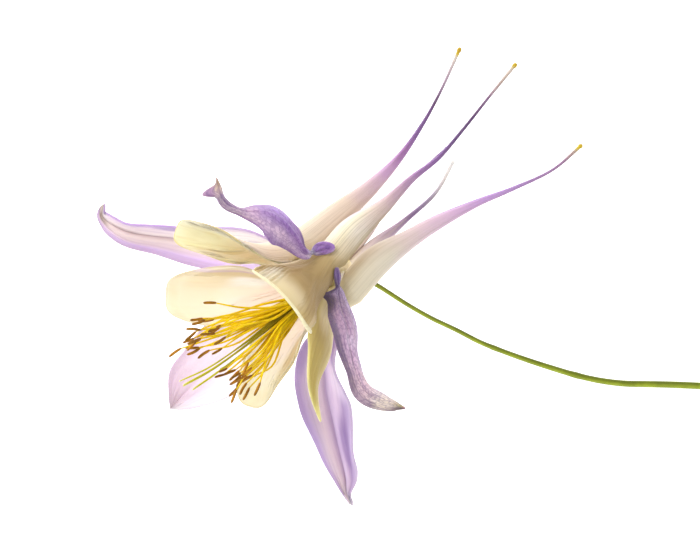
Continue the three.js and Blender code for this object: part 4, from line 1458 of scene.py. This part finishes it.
# Pale and clear: light from the petals around goes into it, so it has no dark side.
# Its sides are painted a lighter cream, a painted glow.
claw_cream = tissue(
    "claw tissue, cream, green at its foot",
    [(0.0, "98ac10"), (0.14, "b4bc34"), (0.3, "ece0c0"), (1.0, "f0e4dc")],
    "f8f0dc", 0.5, 0.5, tint_from=0.2,
)
for name, sepal in SEPALS.items():
    bm = bmesh.new()
    seat = around(WHORL_TURN + sepal["turned"], SEAT_CIRCLE, CLAW_FORWARD)
    join = along(sepal["midline"], sepal["claw"])
    stalk(bm, [seat, sepal["groove"], join], [CLAW_RADIUS, CLAW_RADIUS, CLAW_END], 10, 14)
    finish_piece(bm, name + "_claw", [claw_cream])
for name, petal in PETALS.items():
    bm = bmesh.new()
    turned = WHORL_TURN + petal["turned"]
    seat = around(turned, SEAT_CIRCLE, HEEL_FORWARD)
    join = petal_point(petal, 1, HEEL_AT) + outward(turned) * HEEL_LIFT
    stalk(bm, [seat, join], [HEEL_RADIUS], 10, 4)
    finish_piece(bm, name + "_heel", [claw_cream])

# %% [markdown]
# ## Stamens: where each one goes
#
# A columbine has several dozen stamens in a brush. They open from the middle, so each
# stamen leans out by its own angle, and the golden angle spreads them evenly round the
# axis. The brush parts round the styles, and one stamen stands apart. Instead of a
# random generator, `scatter` turns a stamen's number into one that looks random, so
# the flower is the same each time.

# %% Stamens: where each one goes
STAMENS = 40
STAMEN_LENGTH = 19.0
GOLDEN_ANGLE = 137.508
COLUMN_FORWARD = 3.7  # the front of the receptacle
BRUSH_LIFT = Vector((-0.04, 0.05, 0.02))  # how far the brush leans off the axis per mm
BRUSH_PARTING = 0.08  # how far each half of it leans away from the styles
STRAY, STRAY_LEAN = 34, 0.42  # one stamen stands apart, and how far it leans


def scatter(n):
    """A number from 0 to 1 that looks random but is the same for the same n."""
    x = math.sin(n * 12.9898) * 43758.5453
    return x - math.floor(x)


def stamen_midline(i):
    """The midline of a filament, and the direction that its anther points in."""
    share = math.sqrt((i + 0.5) / STAMENS)
    angle = i * GOLDEN_ANGLE
    length = STAMEN_LENGTH * (1.1 - 0.24 * share + 0.22 * scatter(i))
    spread = math.radians(2 + 9 * share + 4 * scatter(i + 100))
    half = math.copysign(1, math.sin(math.radians(angle)))
    lean = BRUSH_LIFT + ASIDE * (STRAY_LEAN if i == STRAY else BRUSH_PARTING * half)
    root = around(angle, 1.0, COLUMN_FORWARD + 0.6)
    out = outward(angle)

    def reach(part, bend):
        return (
            root - BACK * (length * part * math.cos(spread * bend))
            + out * (length * part * math.sin(spread * bend)) + lean * (length * part * part)
        )

    def sway(n, far):
        return (ASIDE * (scatter(i + n) - 0.5) + UPWARD * (scatter(i + n + 50) - 0.5)) * far

    neck = reach(1, 1) + sway(400, 1.6)
    bend = reach(0.8, 1) + sway(500, 1.3)
    heading = (neck - bend).normalized()
    heading = (heading + sway(200, 0.9)).normalized()
    return [root, reach(0.27, 0.3), reach(0.53, 0.7) + sway(600, 0.8), bend, neck], heading


reaches = [(stamen_midline(i)[0][-1] - stamen_midline(i)[0][0]).length for i in range(STAMENS)]
print(STAMENS, "stamens of", round(min(reaches), 1), "to", round(max(reaches), 1), "mm")

# %% [markdown]
# ## Building the stamens
#
# Each stamen is a thin yellow filament with a brown anther on its tip, which is two
# long lobes side by side. A filament is thickest at its foot. The filaments are one
# piece and the anthers another, because there are many of both and each is tiny. A
# short ring round the pistil joins the feet of the filaments.

# %% Building the stamens
FILAMENT_RADIUS = 0.16
FILAMENT_TAPER = (1.7, 1.5, 1.25, 1.05, 0.7)
ANTHER_LENGTH = 2.3
ANTHER_RADIUS = 0.24
ANTHER_BEND = 0.25


def anther_shape(a, t):
    """Two lobes with a groove on each side, blunt at both ends."""
    lobes = 0.72 + 0.28 * abs(math.cos(math.pi * a)) ** 1.5
    return lobes * math.sqrt(max(0.0, 1 - (2 * t - 1) ** 4)) + 0.05


# Smooth wet threads: where they crowd together they take light from each other and glow.
# Their olive foot is painted shade deep in the brush, and their sides are painted a
# lighter yellow, a painted glow.
filament_yellow = tissue(
    "filament tissue, golden yellow",
    [(0.0, "c0a858"), (0.2, "b4a438"), (0.35, "d8b000"), (0.6, "ecc000"), (0.9, "f4c800"),
     (1.0, "b87c00")],
    "fcdc00", 0.6, 0.4, grain=0.8,
)
# Dry skin dusted with grains of pollen: matt and uneven, lighter in the two grooves.
anther_brown = tissue(
    "anther skin, brown with pollen",
    [(0.0, "643800"), (0.3, "885600"), (0.7, "a06c04"), (1.0, "6c4200")],
    "c88c18", 0.6, 0.15, roughness=0.7, grain=1.2, ridges=16,
)
filaments, anthers = bmesh.new(), bmesh.new()
for i in range(STAMENS):
    midline, heading = stamen_midline(i)
    stalk(filaments, midline, [FILAMENT_RADIUS * more for more in FILAMENT_TAPER], 6, 18)
    neck = midline[-1]
    bend = heading.orthogonal() * (ANTHER_BEND * (scatter(i + 300) - 0.5))
    middle = neck + heading * (ANTHER_LENGTH / 2) + bend
    tip = neck + heading * ANTHER_LENGTH
    stalk(anthers, [neck - heading * 0.2, middle, tip], [ANTHER_RADIUS], 12, 12, anther_shape)
ring = [around(0, 0, COLUMN_FORWARD - 0.2), around(0, 0, COLUMN_FORWARD + 1.4)]
stalk(filaments, ring, [1.8, 1.7], 24, 3)
finish_piece(filaments, "filaments", [filament_yellow], ["stamens"])
finish_piece(anthers, "anthers", [anther_brown])

# %% [markdown]
# ## Pistil
#
# Five slim green carpels stand together in the middle of the brush, and each runs out
# into a long thin style that parts from the others near its tip. Carpel and style are
# one stalk each, which tapers on the way.

# %% Pistil
CARPELS = 5
CARPEL_LENGTH = 13.0
CARPEL_RADIUS = 0.38
CARPEL_FOOT = 0.42
PISTIL_TURN = 20  # degrees
PISTIL_DROP = 0.7  # how far it hangs below the axis
STYLE_REACH = 33.0
STYLE_RADIUS = 0.14
STYLE_LIFT = 1.4  # how far the tips of the styles lean off the axis

# Juicy and smooth: olive where the carpels are thick, clear yellow green in the thin styles.
# Their sides are painted a lighter green, a painted glow.
carpel_green = tissue(
    "carpel and style tissue, olive to yellow green",
    [(0.0, "b09c50"), (0.3, "8c8020"), (0.5, "a09a18"), (0.75, "b8b60c"), (0.95, "d0cc10"),
     (1.0, "f0e890")],
    "b8b020", 0.5, 0.3,
)
start = COLUMN_FORWARD + 0.3
end = COLUMN_FORWARD + 0.3 + CARPEL_LENGTH
sag = UPWARD * -PISTIL_DROP
radii = [CARPEL_FOOT, CARPEL_RADIUS, CARPEL_RADIUS * 0.7,
         STYLE_RADIUS, STYLE_RADIUS, STYLE_RADIUS * 0.8]
bm = bmesh.new()
for i in range(CARPELS):
    angle = 360 / CARPELS * i + PISTIL_TURN
    stalk(bm, [
        around(angle, 0.4, start),
        around(angle, 0.5, start + 6) + sag,
        around(angle, 0.55, end - 1) + sag,
        around(angle, 0.65, mix(end, STYLE_REACH, 0.33)) + ASIDE * (STYLE_LIFT * 0.15),
        around(angle, 0.8, mix(end, STYLE_REACH, 0.66)) + ASIDE * (STYLE_LIFT * 0.45),
        around(angle, 1.3, STYLE_REACH - 1.5 * scatter(i + 7)) + ASIDE * STYLE_LIFT,
    ], radii, 10, 40)
finish_piece(bm, "carpels_and_styles", [carpel_green], ["pistil"])

# %% [markdown]
# ## Stalk
#
# The stalk is a green tube about a millimetre thick that droops from the flower and
# lies along the table to its cut end. Two faint swellings show where leaflets dropped
# off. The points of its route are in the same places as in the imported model.

# %% Stalk
STALK_PATH = points([
    (0.8, 0.6, -1), (1.9, 0.5, -2.7), (3.5, -0.6, -3.9), (5.1, -1.8, -4.7), (7.2, -3.1, -5.6),
    (11.1, -5.6, -7.6), (15, -7.8, -9.6), (19, -9.7, -11.5), (22.9, -11.7, -13.3),
    (26.9, -13.3, -15), (30.8, -14.7, -16.6), (34.8, -16, -18), (38.8, -17.2, -19.3),
    (42.8, -18.1, -20.4), (46.8, -18.6, -21.2), (50.7, -18.7, -21.6), (54.7, -18.8, -21.6),
    (59.3, -19, -21.6), (64.2, -19.3, -21.6), (69.1, -19.5, -21.6), (74.1, -19.3, -21.6),
])
STALK_RADII = [0.6, 0.42, 0.36, 0.38, 0.44, 0.5, 0.54, 0.58, 0.6]
SCARS = (0.43, 0.6)  # share of the length
SCAR_WIDTH, SCAR_SWELL = 0.008, 0.12

# A waxed rind over wet fibres: smooth, with a lighter line painted down each side, a
# painted glow.
stalk_green = tissue(
    "stalk rind, green",
    [(0.0, "f0e4c4"), (0.045, "e8dcb0"), (0.07, "98a828"), (0.15, "6f7808"), (0.93, "687300"),
     (0.985, "7c8420"), (1.0, "b0b878")],
    "b8c83c", 0.75, 0.3, grain=0.6, ridges=14, tint_from=0.06,
)


def stalk_shape(a, t):
    """Two faint swellings."""
    return 1 + SCAR_SWELL * sum(math.exp(-(((t - scar) / SCAR_WIDTH) ** 2)) for scar in SCARS)


bm = bmesh.new()
stalk(bm, STALK_PATH, STALK_RADII, 16, 150, stalk_shape)
finish_piece(bm, "stalk", [stalk_green], ["stem"])

# %% [markdown]
# ## Receptacle
#
# The head of the stalk is a small cone that petals, sepals and stamens all grow from.
# It is deep inside the flower and as pale as the claws, so it is a short stalk of its
# own with a cream finish.

# %% Receptacle
# Pale and soft: the light between the petals goes into it, so it has no hard shade.
# Its sides are painted lighter, a painted glow.
receptacle_cream = tissue(
    "receptacle tissue, cream",
    [(0.0, "e4d8a8"), (0.35, "f0e4c4"), (1.0, "ece0b8")], "f4ead0", 0.5, 0.4,
)
bm = bmesh.new()
column = [around(0, 0, forward) for forward in (COLUMN_FORWARD, 2, 0.2, -1, -2.3)]
stalk(bm, column, [1.55, 1.7, 1.7, 1.1, 0.5], 24, 16)
finish_piece(bm, "receptacle", [receptacle_cream])

# %% [markdown]
# ## Sizes
#
# The finished flower has to fill the same box as the imported model. Both boxes, the
# imported model's and the finished flower's, are written down and can be compared.

# %% Sizes
visual_box = [list(corner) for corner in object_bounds()]
for word, box in (("cad", cad_box), ("visual", visual_box)):
    print(word, [[round(c * 1000, 1) for c in corner] for corner in box])
